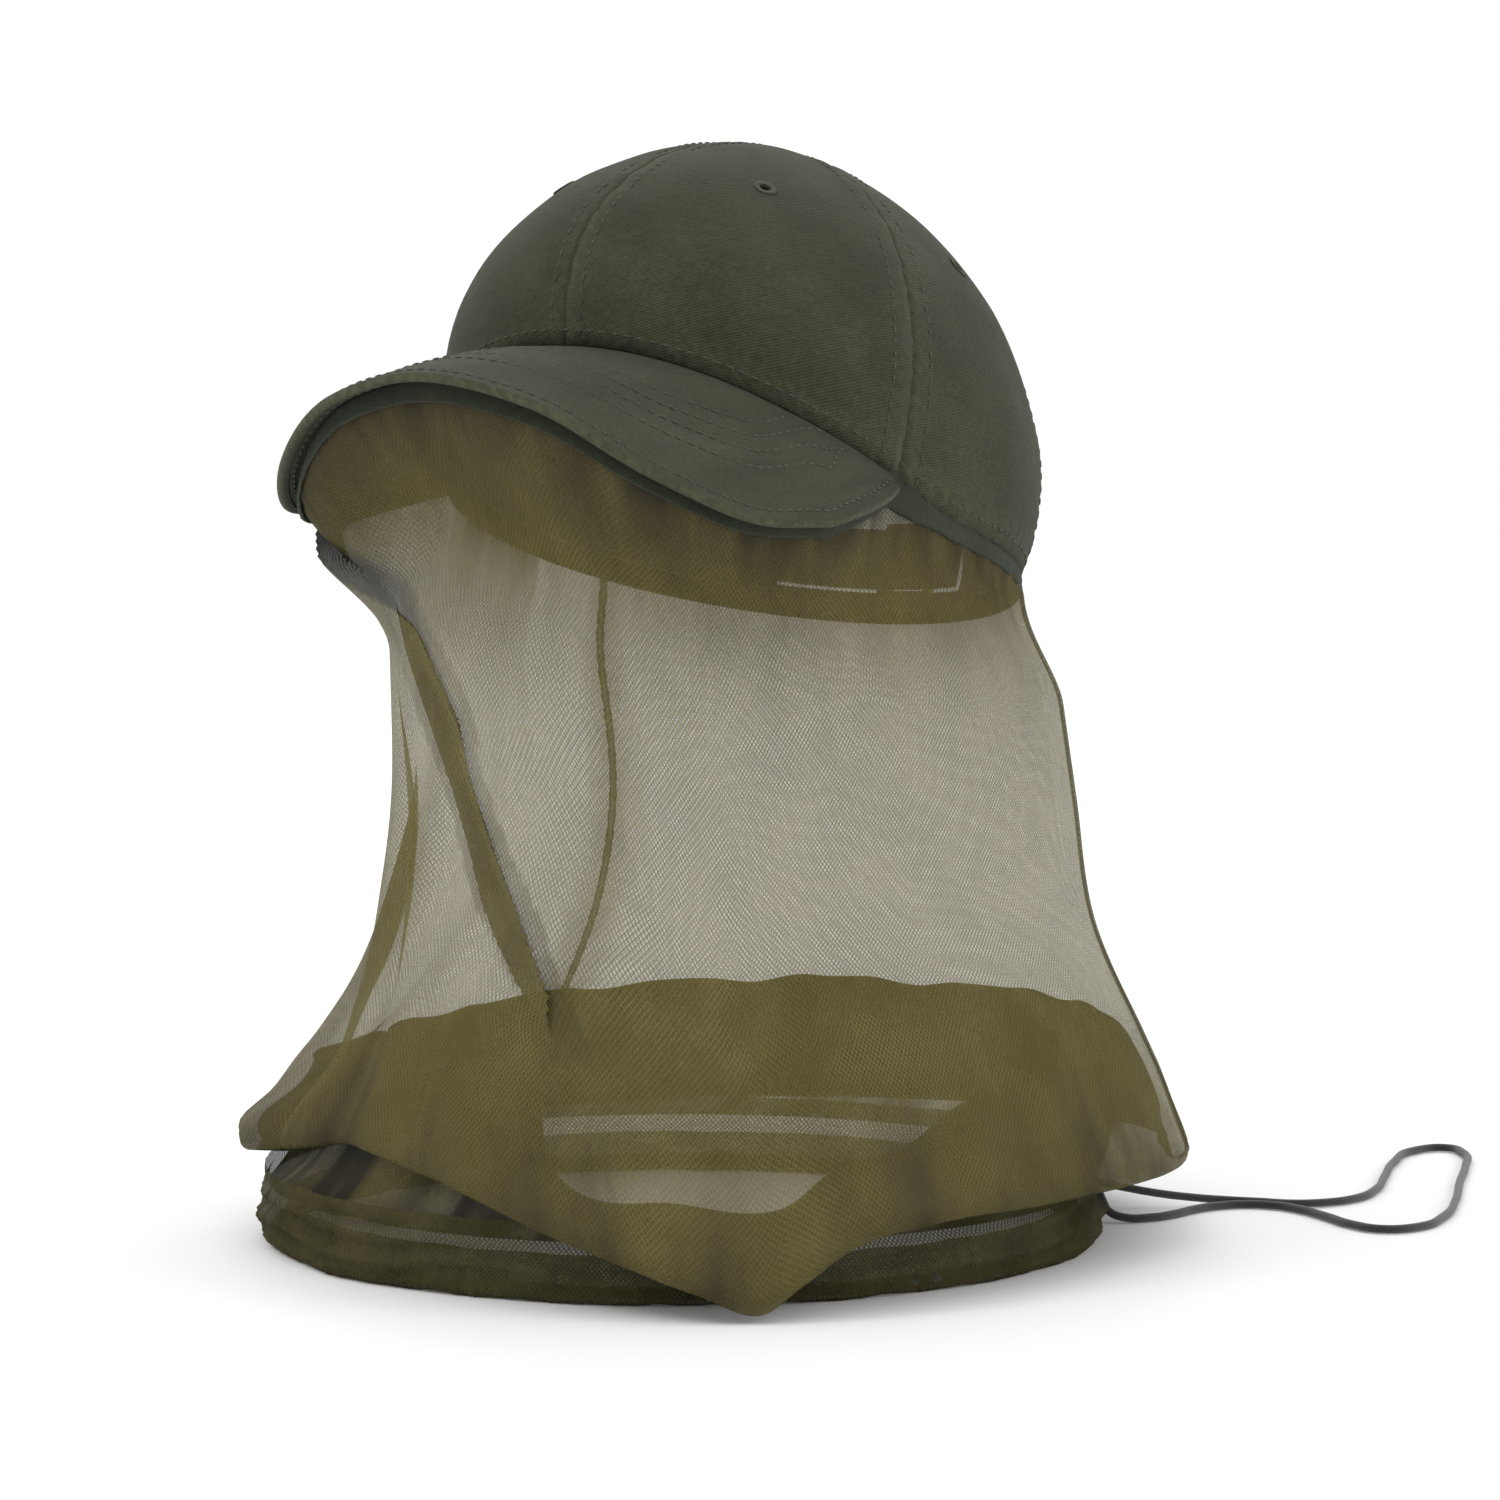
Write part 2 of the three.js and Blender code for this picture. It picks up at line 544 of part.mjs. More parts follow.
// Frame, lever and pin are built flat in X (along the strap) and Z, and face +Y, outward.
const claspFace = strapRadius + GAP;
const frameShape = new THREE.Shape();
const [halfLength, halfHeight] = [CLASP_LENGTH / 2, CLASP_HEIGHT / 2];
frameShape.moveTo(-halfLength, -halfHeight);
frameShape.lineTo(halfLength, -halfHeight);
frameShape.lineTo(halfLength, halfHeight);
frameShape.lineTo(-halfLength, halfHeight);
frameShape.closePath();
const windowInFrame = new THREE.Path();
windowInFrame.moveTo(-halfLength + CLASP_WALL, -halfHeight + CLASP_WALL);
windowInFrame.lineTo(-halfLength + CLASP_WALL, halfHeight - CLASP_WALL);
windowInFrame.lineTo(halfLength - CLASP_WALL, halfHeight - CLASP_WALL);
windowInFrame.lineTo(halfLength - CLASP_WALL, -halfHeight + CLASP_WALL);
windowInFrame.closePath();
frameShape.holes.push(windowInFrame);

const standUp = (geometry) => geometry.rotateX(Math.PI / 2);
const claspZ = STRAP_LIFT + STRAP_WIDTH / 2;
place(claspCentre, 'clasp_frame',
  standUp(new THREE.ExtrudeGeometry(frameShape, { depth: CLASP_THICKNESS, bevelEnabled: false })), MATERIALS.brass)
  .position.set(0, claspFace + CLASP_THICKNESS, claspZ);

// Pin stands upright inside the window, near its left end, and the lever swings out on it.
const pinX = -halfLength + CLASP_WALL + GAP + LEVER_BARREL;
const pinY = claspFace + LEVER_BARREL;
const pinLength = CLASP_HEIGHT - 2 * CLASP_WALL - 2 * GAP;
place(claspCentre, 'clasp_pin',
  standUp(new THREE.CylinderGeometry(PIN_RADIUS, PIN_RADIUS, pinLength, 12)), MATERIALS.brass)
  .position.set(pinX, pinY, claspZ);

const leverShape = new THREE.Shape();
const leverReach = halfLength - CLASP_WALL - GAP - pinX;
leverShape.absarc(0, 0, LEVER_BARREL, Math.PI / 2, 1.5 * Math.PI, false);
leverShape.lineTo(LEVER_BARREL, LEVER_BARREL - LEVER_PLATE);
leverShape.lineTo(leverReach, LEVER_BARREL - LEVER_PLATE);
leverShape.lineTo(leverReach, LEVER_BARREL);
leverShape.closePath();
const pinHole = new THREE.Path();
pinHole.absarc(0, 0, PIN_RADIUS + GAP, 0, 2 * Math.PI, true);
leverShape.holes.push(pinHole);
const leverHeight = pinLength - 2 * LEVER_END_GAP;
place(claspCentre, 'clasp_lever', new THREE.ExtrudeGeometry(leverShape,
  { depth: leverHeight, bevelEnabled: false, curveSegments: 6 }), MATERIALS.brass)
  .position.set(pinX, pinY, claspZ - leverHeight / 2);

// ---- Net ----------------------------------------------------------------------------------------------------
const toWorld = (p) => p.clone().applyAxisAngle(new THREE.Vector3(1, 0, 0), -CAP_TILT);

// Line that the tape follows, in the cap's frame: below the visor in front, below the rim elsewhere.
function tapeLine(angle) {
  const turn = Math.atan2(Math.sin(angle), Math.cos(angle));
  const across = turn / SIDE_SEAM;
  if (Math.abs(across) < 0.97) {
    const out = Math.max(0.12, 1 - TAPE_INSET / edgeLength(across));
    return visorDepth(across, out, VISOR_STACK + 2 * GAP + TAPE_BODY / 2);
  }
  const p = insideCrown(turn, 0, TWILL / 2);
  const past = smoothstep(Math.abs(turn), SIDE_SEAM, SIDE_SEAM + rad(14));
  const clear = lerp(VISOR_STACK + 3 * GAP + TAPE_BODY / 2, GAP + 0.1, past);
  p.z -= clear;
  return p;
}

const AROUND = 48;
const angles = Array.from({ length: AROUND }, (_, i) => (i / AROUND) * 2 * Math.PI);
const levelOut = (angle) => {
  const step = rad(1);
  const ahead = tapeLine(angle + step).sub(tapeLine(angle - step));
  return new THREE.Vector3(ahead.y, -ahead.x, 0).normalize();
};
{
  const grid = (offset) => [0, 1].map((row) => angles.map((angle) =>
    tapeLine(angle).addScaledVector(levelOut(angle), offset).add(new THREE.Vector3(0, 0, -row * TAPE_DROP))));
  place(cap, 'net_joining_tape', sheetBody(grid(TAPE_BODY / 2), grid(-TAPE_BODY / 2), true), MATERIALS.twillTape);
}

// Half widths of the hanging net at each level: toward the front, back, wearer's left and wearer's right.
const NET_LEVELS = [
  { z: 20, front: 132, back: 84, left: 86, right: 86 },
  { z: -25, front: 129, back: 92, left: 90, right: 92 },
  { z: -80, front: 124, back: 108, left: 95, right: 90 },
  { z: -115, front: 127, back: 116, left: 100, right: 98 },
  { z: -148, front: 132, back: 131, left: 114, right: 118 },
  { z: -172, front: 138, back: 145, left: 124, right: 140 },
  { z: -190, front: 141, back: 150, left: 130, right: 148 },
  { z: -212, front: 143, back: 150, left: 131, right: 148 },
];

function netReach(side, z) {
  const last = NET_LEVELS.length - 2;
  let i = NET_LEVELS.findIndex((level, n) => n <= last && z >= NET_LEVELS[n + 1].z);
  if (i < 0) i = last;
  const [high, low] = [NET_LEVELS[i], NET_LEVELS[i + 1]];
  const share = clamp((high.z - z) / (high.z - low.z), 0, 1);
  return lerp(high[side], low[side], share);
}

// How much of the front corner is felt at an angle, from 0 to 1.
function cornerShare(angle) {
  const turn = Math.atan2(Math.sin(angle - FRONT_CORNER_ANGLE), Math.cos(angle - FRONT_CORNER_ANGLE));
  return Math.exp(-((turn / FRONT_CORNER_SPREAD) ** 2));
}
const foldLevel = (angle) => NET_FOLD_LEVEL - FRONT_CORNER_DROP * cornerShare(angle);

// Point on the hanging net, from 0 under the tape to 1 at the lower fold.
function netPoint(angle, down) {
  const top = toWorld(tapeLine(angle).add(new THREE.Vector3(0, 0, -TAPE_DROP - NET_START)));
  const z = lerp(top.z, foldLevel(angle), down);
  const [s, c] = [Math.sin(angle), Math.cos(angle)];
  const corner = FRONT_CORNER_REACH * cornerShare(angle) * smoothstep(down, 0.6, 1);
  const hang = new THREE.Vector3(
    s * (netReach(s > 0 ? 'left' : 'right', z) + corner),
    -c * (netReach(c > 0 ? 'front' : 'back', z) + corner),
    z,
  );
  const held = 1 - smoothstep(down, 0, NET_HELD);
  return new THREE.Vector3(lerp(hang.x, top.x, held), lerp(hang.y, top.y, held), z);
}

// Point on the hem's centre line, at a level.
function hemPoint(angle, z, outward = 0) {
  const turn = angle - Math.PI / 2 - HEM_TURN;
  const long = (HEM_HALF_LENGTH + outward) * Math.cos(turn);
  const short = (HEM_HALF_WIDTH + outward) * Math.sin(turn);
  return new THREE.Vector3(
    HEM_CENTRE[0] + long * Math.cos(HEM_TURN) - short * Math.sin(HEM_TURN),
    HEM_CENTRE[1] + long * Math.sin(HEM_TURN) + short * Math.cos(HEM_TURN),
    z,
  );
}

// One column of the net: down the outside, round the lower fold and back to the top of the hem.
function netColumn(angle) {
  const column = spread(0, 1, 11).map((down) => netPoint(angle, down));
  const fold = column.at(-1);
  const hemTop = hemPoint(angle, HEM_TOP + GAP + NET, HEM_THICKNESS / 2);
  const inward = hemTop.clone().sub(fold).setZ(0).normalize();
  const clear = FOLD_RADIUS + NET;
  [0.25, 0.75].forEach((turn) => {
    column.push(fold.clone().addScaledVector(inward, FOLD_RADIUS * (1 - Math.cos(turn * Math.PI)))
      .add(new THREE.Vector3(0, 0, -FOLD_RADIUS * Math.sin(turn * Math.PI))));
  });
  const back = fold.clone().addScaledVector(inward, 2 * clear);
  back.z += FOLD_RADIUS;
  column.push(back);
  const over = back.clone().lerp(hemTop, 0.6);
  over.z = Math.max(over.z, hemTop.z + 1);
  column.push(over, hemTop);
  return column;
}

// A strip of net between two angles, thickened along its own normals.
function netBody(from, to, columns) {
  const list = spread(from, to, columns).map(netColumn);
  const rows = list[0].length;
  const grid = (offset) => Array.from({ length: rows }, (_, r) => list.map((column, c) => {
    const across = list[Math.min(c + 1, columns)][r].clone().sub(list[Math.max(c - 1, 0)][r]);
    const down = column[Math.min(r + 1, rows - 1)].clone().sub(column[Math.max(r - 1, 0)]);
    const normal = down.cross(across).normalize();
    return column[r].clone().addScaledVector(normal, offset);
  }));
  return sheetBody(grid(NET / 2), grid(-NET / 2));
}

const seamHalf = NET_SEAM_WIDTH / 2 / HEAD_HALF_WIDTH;
const gapAngle = GAP / HEAD_HALF_WIDTH;
place(model, 'net_front', netBody(-NET_SEAM + seamHalf + gapAngle, NET_SEAM - seamHalf - gapAngle, 32), MATERIALS.net);
place(model, 'net_back', netBody(NET_SEAM + seamHalf + gapAngle, 2 * Math.PI - NET_SEAM - seamHalf - gapAngle, 16),
  MATERIALS.net);
[['left', NET_SEAM], ['right', 2 * Math.PI - NET_SEAM]].forEach(([side, angle]) => {
  place(model, `net_seam_${side}`, netBody(angle - seamHalf, angle + seamHalf, 1), MATERIALS.netDense);
});

// ---- Hem, elastic and draw loop -----------------------------------------------------------------------------
{
  const half = HEM_THICKNESS / 2;
  const outline = (inset) => {
    const path = [[half - inset, HEM_TOP], [half - inset, (HEM_TOP + HEM_BOTTOM) / 2]];
    spread(0, -Math.PI, 4).forEach((turn) => {
      path.push([(half - inset) * Math.cos(turn), HEM_BOTTOM + half + (half - inset) * Math.sin(turn)]);
    });
    path.push([-half + inset, HEM_BOTTOM + HEM_LINING]);
    return path;
  };
  const grid = (inset) => outline(inset).map(([out, z]) => angles.map((angle) => hemPoint(angle, z, out)));
  place(model, 'hem_casing', sheetBody(grid(0), grid(NET), true), MATERIALS.netDense);
  const level = HEM_BOTTOM + NET + GAP + ELASTIC_RADIUS + ELASTIC_SLACK;
  place(model, 'hem_elastic', ringBody(angles.map((angle) => hemPoint(angle, level)), ELASTIC_RADIUS, 6),
    MATERIALS.elastic);
}

// Patch on the hem's outer face, round the two holes that the draw loop comes out of.
{
  const face = HEM_THICKNESS / 2 + GAP;
  const grid = (out) => [-0.5, 0.5].map((share) => spread(-PATCH_HALF_ANGLE, PATCH_HALF_ANGLE, 6).map((turn) =>
    hemPoint(PATCH_ANGLE + turn, PATCH_LEVEL + share * PATCH_HEIGHT, out)));
  place(model, 'cord_exit_patch', sheetBody(grid(face + PATCH_THICKNESS), grid(face)), MATERIALS.netDense);
}

// The elastic draw loop: out of the hem, down to the surface, along it and round, and back beside itself.
const REST = HEM_BOTTOM + CORD_RADIUS + 0.1;
const CORD_ROUTE = [
  [78.6, 74.2, -200.3], [81.5, 72.6, -201.3], [83.3, 71.8, -203.7], [85, 72.2, -206.4], [89, 74.2, -208.2],
  [95, 81, REST], [98, 90, REST], [99, 100, REST], [102, 110, REST], [108, 117.5, REST], [117, 120.5, REST],
  [127, 118, REST], [140, 110, REST], [153, 101, REST], [164, 98.5, REST], [171, 107, REST], [170, 128, REST],
  [160.5, 158, REST], [147, 191, REST], [134.5, 223, REST], [124, 245, REST], [113.5, 253, REST],
  [107.5, 243, REST], [112, 217, REST], [121.5, 190, REST], [130.5, 164, REST], [132.5, 146, REST],
  [127.5, 133, REST], [120, 126.5, REST], [111, 124.5, REST], [101.5, 119.5, -208.2], [93, 109.5, -206.6],
  [85.5, 99.5, -204.4], [79, 92.5, -202.3], [73.5, 88.3, -200.8], [69.4, 85.8, -200],
].map(([x, y, z]) => new THREE.Vector3(x, y, z));
{
  const section = new THREE.Shape();
  section.absarc(0, 0, CORD_RADIUS, 0, 2 * Math.PI, false);
  const route = new THREE.CatmullRomCurve3(CORD_ROUTE, false, 'centripetal');
  const tube = new THREE.ExtrudeGeometry(section, { steps: 78, bevelEnabled: false, curveSegments: 4,
    extrudePath: route });
  place(model, 'draw_loop', tube, MATERIALS.cord);
}

export default model;
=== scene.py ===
from math import asin, atan2, cos, exp, hypot, pi, radians, sin, sqrt, tan

import bmesh
import bpy
from mathutils import Matrix, Quaternion, Vector, noise


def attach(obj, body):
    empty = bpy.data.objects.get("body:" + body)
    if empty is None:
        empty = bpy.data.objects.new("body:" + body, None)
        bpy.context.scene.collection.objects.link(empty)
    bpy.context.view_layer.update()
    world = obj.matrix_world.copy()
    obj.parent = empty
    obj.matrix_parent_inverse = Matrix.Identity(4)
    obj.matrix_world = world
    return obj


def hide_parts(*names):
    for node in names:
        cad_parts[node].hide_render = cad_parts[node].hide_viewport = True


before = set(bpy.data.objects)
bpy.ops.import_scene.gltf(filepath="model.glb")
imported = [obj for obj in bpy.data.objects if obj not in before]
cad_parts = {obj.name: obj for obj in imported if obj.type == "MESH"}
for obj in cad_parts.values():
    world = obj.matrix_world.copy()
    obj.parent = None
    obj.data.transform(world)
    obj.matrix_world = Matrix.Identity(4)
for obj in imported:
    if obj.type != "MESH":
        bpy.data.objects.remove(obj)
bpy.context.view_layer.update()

MM = 0.001

# ---- Camera, floor and light ---------------------------------------------------------------------------
# The veil stands on its hem on a plain pale floor. It is seen from the wearer's front left, a little above
# the rim, in soft even light with a little more from above on the camera's left.
CAMERA_TURN = radians(31.5)
CAMERA_DISTANCE = 1.7
CAMERA_HEIGHT = 0.0807
CAMERA_DIP = radians(4.889)
CAMERA_YAW = radians(0.05)
FLOOR_LEVEL = -0.2101

camera_data = bpy.data.cameras.new("camera")
camera_data.lens = 137.5
camera_data.sensor_width = 36
camera = bpy.data.objects.new("camera", camera_data)
bpy.context.scene.collection.objects.link(camera)
bpy.context.scene.camera = camera
camera.location = (sin(CAMERA_TURN) * CAMERA_DISTANCE, -cos(CAMERA_TURN) * CAMERA_DISTANCE, CAMERA_HEIGHT)
ahead = Vector((-sin(CAMERA_TURN) * cos(CAMERA_DIP), cos(CAMERA_TURN) * cos(CAMERA_DIP), -sin(CAMERA_DIP)))
ahead += Vector((cos(CAMERA_TURN), sin(CAMERA_TURN), 0)) * tan(CAMERA_YAW)
camera.rotation_euler = ahead.to_track_quat("-Z", "Y").to_euler()

bpy.context.scene.view_settings.view_transform = "Standard"
world = bpy.data.worlds.new("studio")
bpy.context.scene.world = world
world.use_nodes = True
world.node_tree.nodes["Background"].inputs["Color"].default_value = (1.0, 1.0, 1.0, 1)
world.node_tree.nodes["Background"].inputs["Strength"].default_value = 1.06


def soft_light(name, place, aim, width, power):
    data = bpy.data.lights.new(name, "AREA")
    data.shape = "DISK"
    data.size = width
    data.energy = power
    light = bpy.data.objects.new(name, data)
    bpy.context.scene.collection.objects.link(light)
    light.location = place
    light.rotation_euler = (Vector(aim) - Vector(place)).to_track_quat("-Z", "Y").to_euler()


soft_light("key_light", (-1.2, -1.7, 1.9), (0, 0, 0), 1.0, 14)
soft_light("side_light", (2.1, 0.5, 1.0), (0, 0, -0.05), 1.0, 7)
soft_light("back_light", (-1.4, 1.7, 1.3), (0, 0, 0), 1.2, 9)


def finish(name, roughness, sheen=0.0, metallic=0.0):
    """A new material and its shader, ready for add() to feed."""
    material = bpy.data.materials.new(name)
    material.use_nodes = True
    shader = material.node_tree.nodes["Principled BSDF"]
    shader.inputs["Roughness"].default_value = roughness
    shader.inputs["Metallic"].default_value = metallic
    shader.inputs["Sheen Weight"].default_value = sheen
    shader.inputs["Specular IOR Level"].default_value = 0.5 if metallic else 0.15
    shader.inputs["Sheen Roughness"].default_value = 0.6
    return material, shader


def feed(material, socket, value):
    """Sets a socket: a node or an output is linked to it, and a number or colour is written on it."""
    if isinstance(value, bpy.types.Node):
        value = value.outputs[0]
    if isinstance(value, bpy.types.NodeSocket):
        material.node_tree.links.new(value, socket)
    else:
        socket.default_value = value


def add(material, kind, inputs=None, **settings):
    """One more node of a material, with its settings and with its inputs fed by name or number."""
    node = material.node_tree.nodes.new("ShaderNode" + kind)
    for key, value in settings.items():
        setattr(node, key, value)
    for key, value in (inputs or {}).items():
        feed(material, node.inputs[key], value)
    return node


def calc(material, operation, *values):
    """A sum of a material: one Math node on two or three numbers."""
    return add(material, "Math", dict(enumerate(values)), operation=operation)


def blend_colours(material, share, low, high):
    mix = add(material, "Mix", data_type="RGBA")
    feed(material, mix.inputs["Factor"], share)
    feed(material, mix.inputs[6], low)
    feed(material, mix.inputs[7], high)
    return mix.outputs[2]


def bump(material, shader, height, distance, strength=1.0):
    node = add(material, "Bump", {"Height": height, "Distance": distance, "Strength": strength})
    feed(material, shader.inputs["Normal"], node)


def patches(material, coords, size, low, high, detail=3.0):
    """Soft patches about as wide as size, from 0 to 1 between the two shares of the noise."""
    cloud = add(material, "TexNoise", {"Vector": coords, "Scale": 1 / size, "Detail": detail})
    return add(material, "MapRange", {0: cloud, 1: low, 2: high})


def piece_from(bm, name, material, smooth=True):
    """Makes an object of a bmesh, with its place in its mesh."""
    mesh = bpy.data.meshes.new(name)
    for face in bm.faces:
        face.smooth = smooth
    bm.to_mesh(mesh)
    bm.free()
    piece = bpy.data.objects.new(name, mesh)
    bpy.context.scene.collection.objects.link(piece)
    if material:
        mesh.materials.append(material)
    return piece


def belongs(piece, slot, *nodes, body="veil"):
    """The piece rides on a body and stands for these solids of the frame. Its slot is not used."""
    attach(piece, body)
    if nodes:
        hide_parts(*nodes)


floor_paint, floor_shader = finish("floor_paint", 0.9)
floor_coords = add(floor_paint, "TexCoord").outputs["Object"]
floor_tone = patches(floor_paint, floor_coords, 0.5, 0.3, 0.7)
feed(floor_paint, floor_shader.inputs["Base Color"],
     blend_colours(floor_paint, floor_tone, (0.945, 0.945, 0.945, 1), (0.955, 0.955, 0.955, 1)))
floor_mesh = bmesh.new()
bmesh.ops.create_circle(floor_mesh, cap_ends=True, segments=64, radius=40,
                        matrix=Matrix.Translation((0, 0, FLOOR_LEVEL)))
floor = piece_from(floor_mesh, "floor", floor_paint, smooth=False)

# ---- Draw loop -----------------------------------------------------------------------------------------
# A loop of round braided black elastic, the free part of the hem's elastic. Both ends come out of the
# stitched patch at the wearer's left back, and it lies on the floor in one long narrow loop.
CORD_DIAMETER = 0.0025
CORD_REST = FLOOR_LEVEL + 0.00145
CORD_ROUTE = [
    (78.6, 74.2, -200.3), (81.5, 72.6, -201.3), (83.3, 71.8, -203.7), (85, 72.2, -206.4), (89, 74.2, -208.2),
    (95, 81), (98, 90), (99, 100), (102, 110), (108, 117.5), (117, 120.5), (127, 118), (140, 110), (153, 101),
    (164, 98.5), (171, 107), (170, 128), (160.5, 158), (147, 191), (134.5, 223), (124, 245), (113.5, 253),
    (107.5, 243), (112, 217), (121.5, 190), (130.5, 164), (132.5, 146), (127.5, 133), (120, 126.5),
    (111, 124.5), (101.5, 119.5, -208.2), (93, 109.5, -206.6), (85.5, 99.5, -204.4), (79, 92.5, -202.3),
    (73.5, 88.3, -200.8), (69.4, 85.8, -200),
]

braid, braid_shader = finish("braided_elastic", 0.55, sheen=0.3)
braid_uv = add(braid, "UVMap")
braid_split = add(braid, "SeparateXYZ", {0: braid_uv})
STRANDS = 8
PICKS = 260
around_left = calc(braid, "MULTIPLY_ADD", braid_split.outputs[1], float(STRANDS),
                   calc(braid, "MULTIPLY", braid_split.outputs[0], float(PICKS)))
around_right = calc(braid, "MULTIPLY_ADD", braid_split.outputs[1], float(STRANDS),
                    calc(braid, "MULTIPLY", braid_split.outputs[0], -float(PICKS)))
strand_left = calc(braid, "PINGPONG", around_left, 0.5)
strand_right = calc(braid, "PINGPONG", around_right, 0.5)
strand_height = calc(braid, "MAXIMUM", strand_left, strand_right)
feed(braid, braid_shader.inputs["Base Color"],
     blend_colours(braid, calc(braid, "MULTIPLY", strand_height, 2.0), (0.006, 0.006, 0.007, 1),
                   (0.022, 0.022, 0.026, 1)))
bump(braid, braid_shader, strand_height, 0.0004)

cord_curve = bpy.data.curves.new("draw_loop_elastic", "CURVE")
cord_curve.dimensions = "3D"
cord_curve.bevel_depth = CORD_DIAMETER / 2
cord_curve.bevel_resolution = 3
cord_curve.resolution_u = 8
cord_curve.use_fill_caps = True
spline = cord_curve.splines.new("BEZIER")
spline.bezier_points.add(len(CORD_ROUTE) - 1)
for knot, spot in zip(spline.bezier_points, CORD_ROUTE):
    knot.co = (spot[0] * MM, spot[1] * MM, spot[2] * MM if len(spot) == 3 else CORD_REST)
    knot.handle_left_type = knot.handle_right_type = "AUTO"
cord_curve.materials.append(braid)
draw_loop = bpy.data.objects.new("draw_loop_elastic", cord_curve)
bpy.context.scene.collection.objects.link(draw_loop)
belongs(draw_loop, "elastic", "draw_loop")

# ---- Crown ---------------------------------------------------------------------------------------------
# Six gores of washed cotton twill, each cut to a point and sewn edge to edge. They lean back together on
# the head, and the two rear ones are cut away in an arch over the strap.
HALF_WIDTH = 83.5 * MM
RIM_FRONT = 110 * MM
CROWN_HEIGHT = 113 * MM
CROWN_LEAN = 6 * MM
CROWN_FULLNESS = 0.36
RIM_ARCH = 24 * MM
RIM_ARCH_END = radians(80)
CAP_TILT = radians(18)
TWILL = 1.1 * MM
SIDE_SEAM = radians(66)
REAR_SEAM = radians(123)
CROWN_EYE = 4 * MM
OPENING_HALF_ANGLE = radians(24)
OPENING_HEIGHT = 40 * MM
SEAM_DIP = 0.28 * MM
SEAMS = [0, SIDE_SEAM, REAR_SEAM, pi, 2 * pi - REAR_SEAM, 2 * pi - SIDE_SEAM, 2 * pi]
PANEL_NAMES = ["front_left", "side_left", "rear_left", "rear_right", "side_right", "front_right"]
TILT = Matrix.Rotation(-CAP_TILT, 3, "X")


def lerp(a, b, share):
    return a + (b - a) * share


def clamp(value, low=0.0, high=1.0):
    return max(low, min(high, value))


def ease(value, low, high):
    share = clamp((value - low) / (high - low))
    return share * share * (3 - 2 * share)


def rim_height(angle):
    """Rise of the rim over the forehead. The angle runs from the front toward the wearer's left."""
    end = cos(RIM_ARCH_END)
    return RIM_ARCH * clamp((cos(angle) - end) / (1 - end)) ** 1.15


def crown_point(angle, level):
    """Point on the crown in the cap's own upright frame. The level is 0 at the rim and 1 at the top."""
    share = sin(level * pi / 2)
    width = sqrt(max(0.0, 1 - share ** 1.8)) * (1 + CROWN_FULLNESS * share * (1 - share))
    reach = RIM_FRONT if cos(angle) > 0 else HALF_WIDTH
    base = rim_height(angle)
    return Vector((HALF_WIDTH * sin(angle) * width, -reach * cos(angle) * width - CROWN_LEAN * share,
                   base + share * (CROWN_HEIGHT - base)))


def crown_normal(angle, level):
    step = 1e-3
    near = min(level, 1 - 3 * step)
    across = crown_point(angle + step, near) - crown_point(angle - step, near)
    up = crown_point(angle, near + step) - crown_point(angle, max(0.0, near - step))
    return across.cross(up).normalized()


def on_crown(angle, level, depth=0.0):
    """Point below the crown's face, in the veil's frame."""
    return TILT @ (crown_point(angle, level) - crown_normal(angle, level) * depth)


def level_at(angle, height):
    base = rim_height(angle)
    return 2 / pi * asin(clamp((height - base) / (CROWN_HEIGHT - base)))


def level_at_radius(angle, radius):
    low, high = 0.5, 1.0
    for _ in range(30):
        middle = (low + high) / 2
        p = crown_point(angle, middle)
        if hypot(p.x, p.y + CROWN_LEAN * sin(middle * pi / 2)) > radius:
            low = middle
        else:
            high = middle
    return low


def lower_edge(angle):
    """Height of the crown's lower edge: the rim, or the arch of the back opening."""
    off = abs(angle % (2 * pi) - pi) / OPENING_HALF_ANGLE
    return OPENING_HEIGHT * sqrt(1 - off * off) if off < 1 else rim_height(angle)


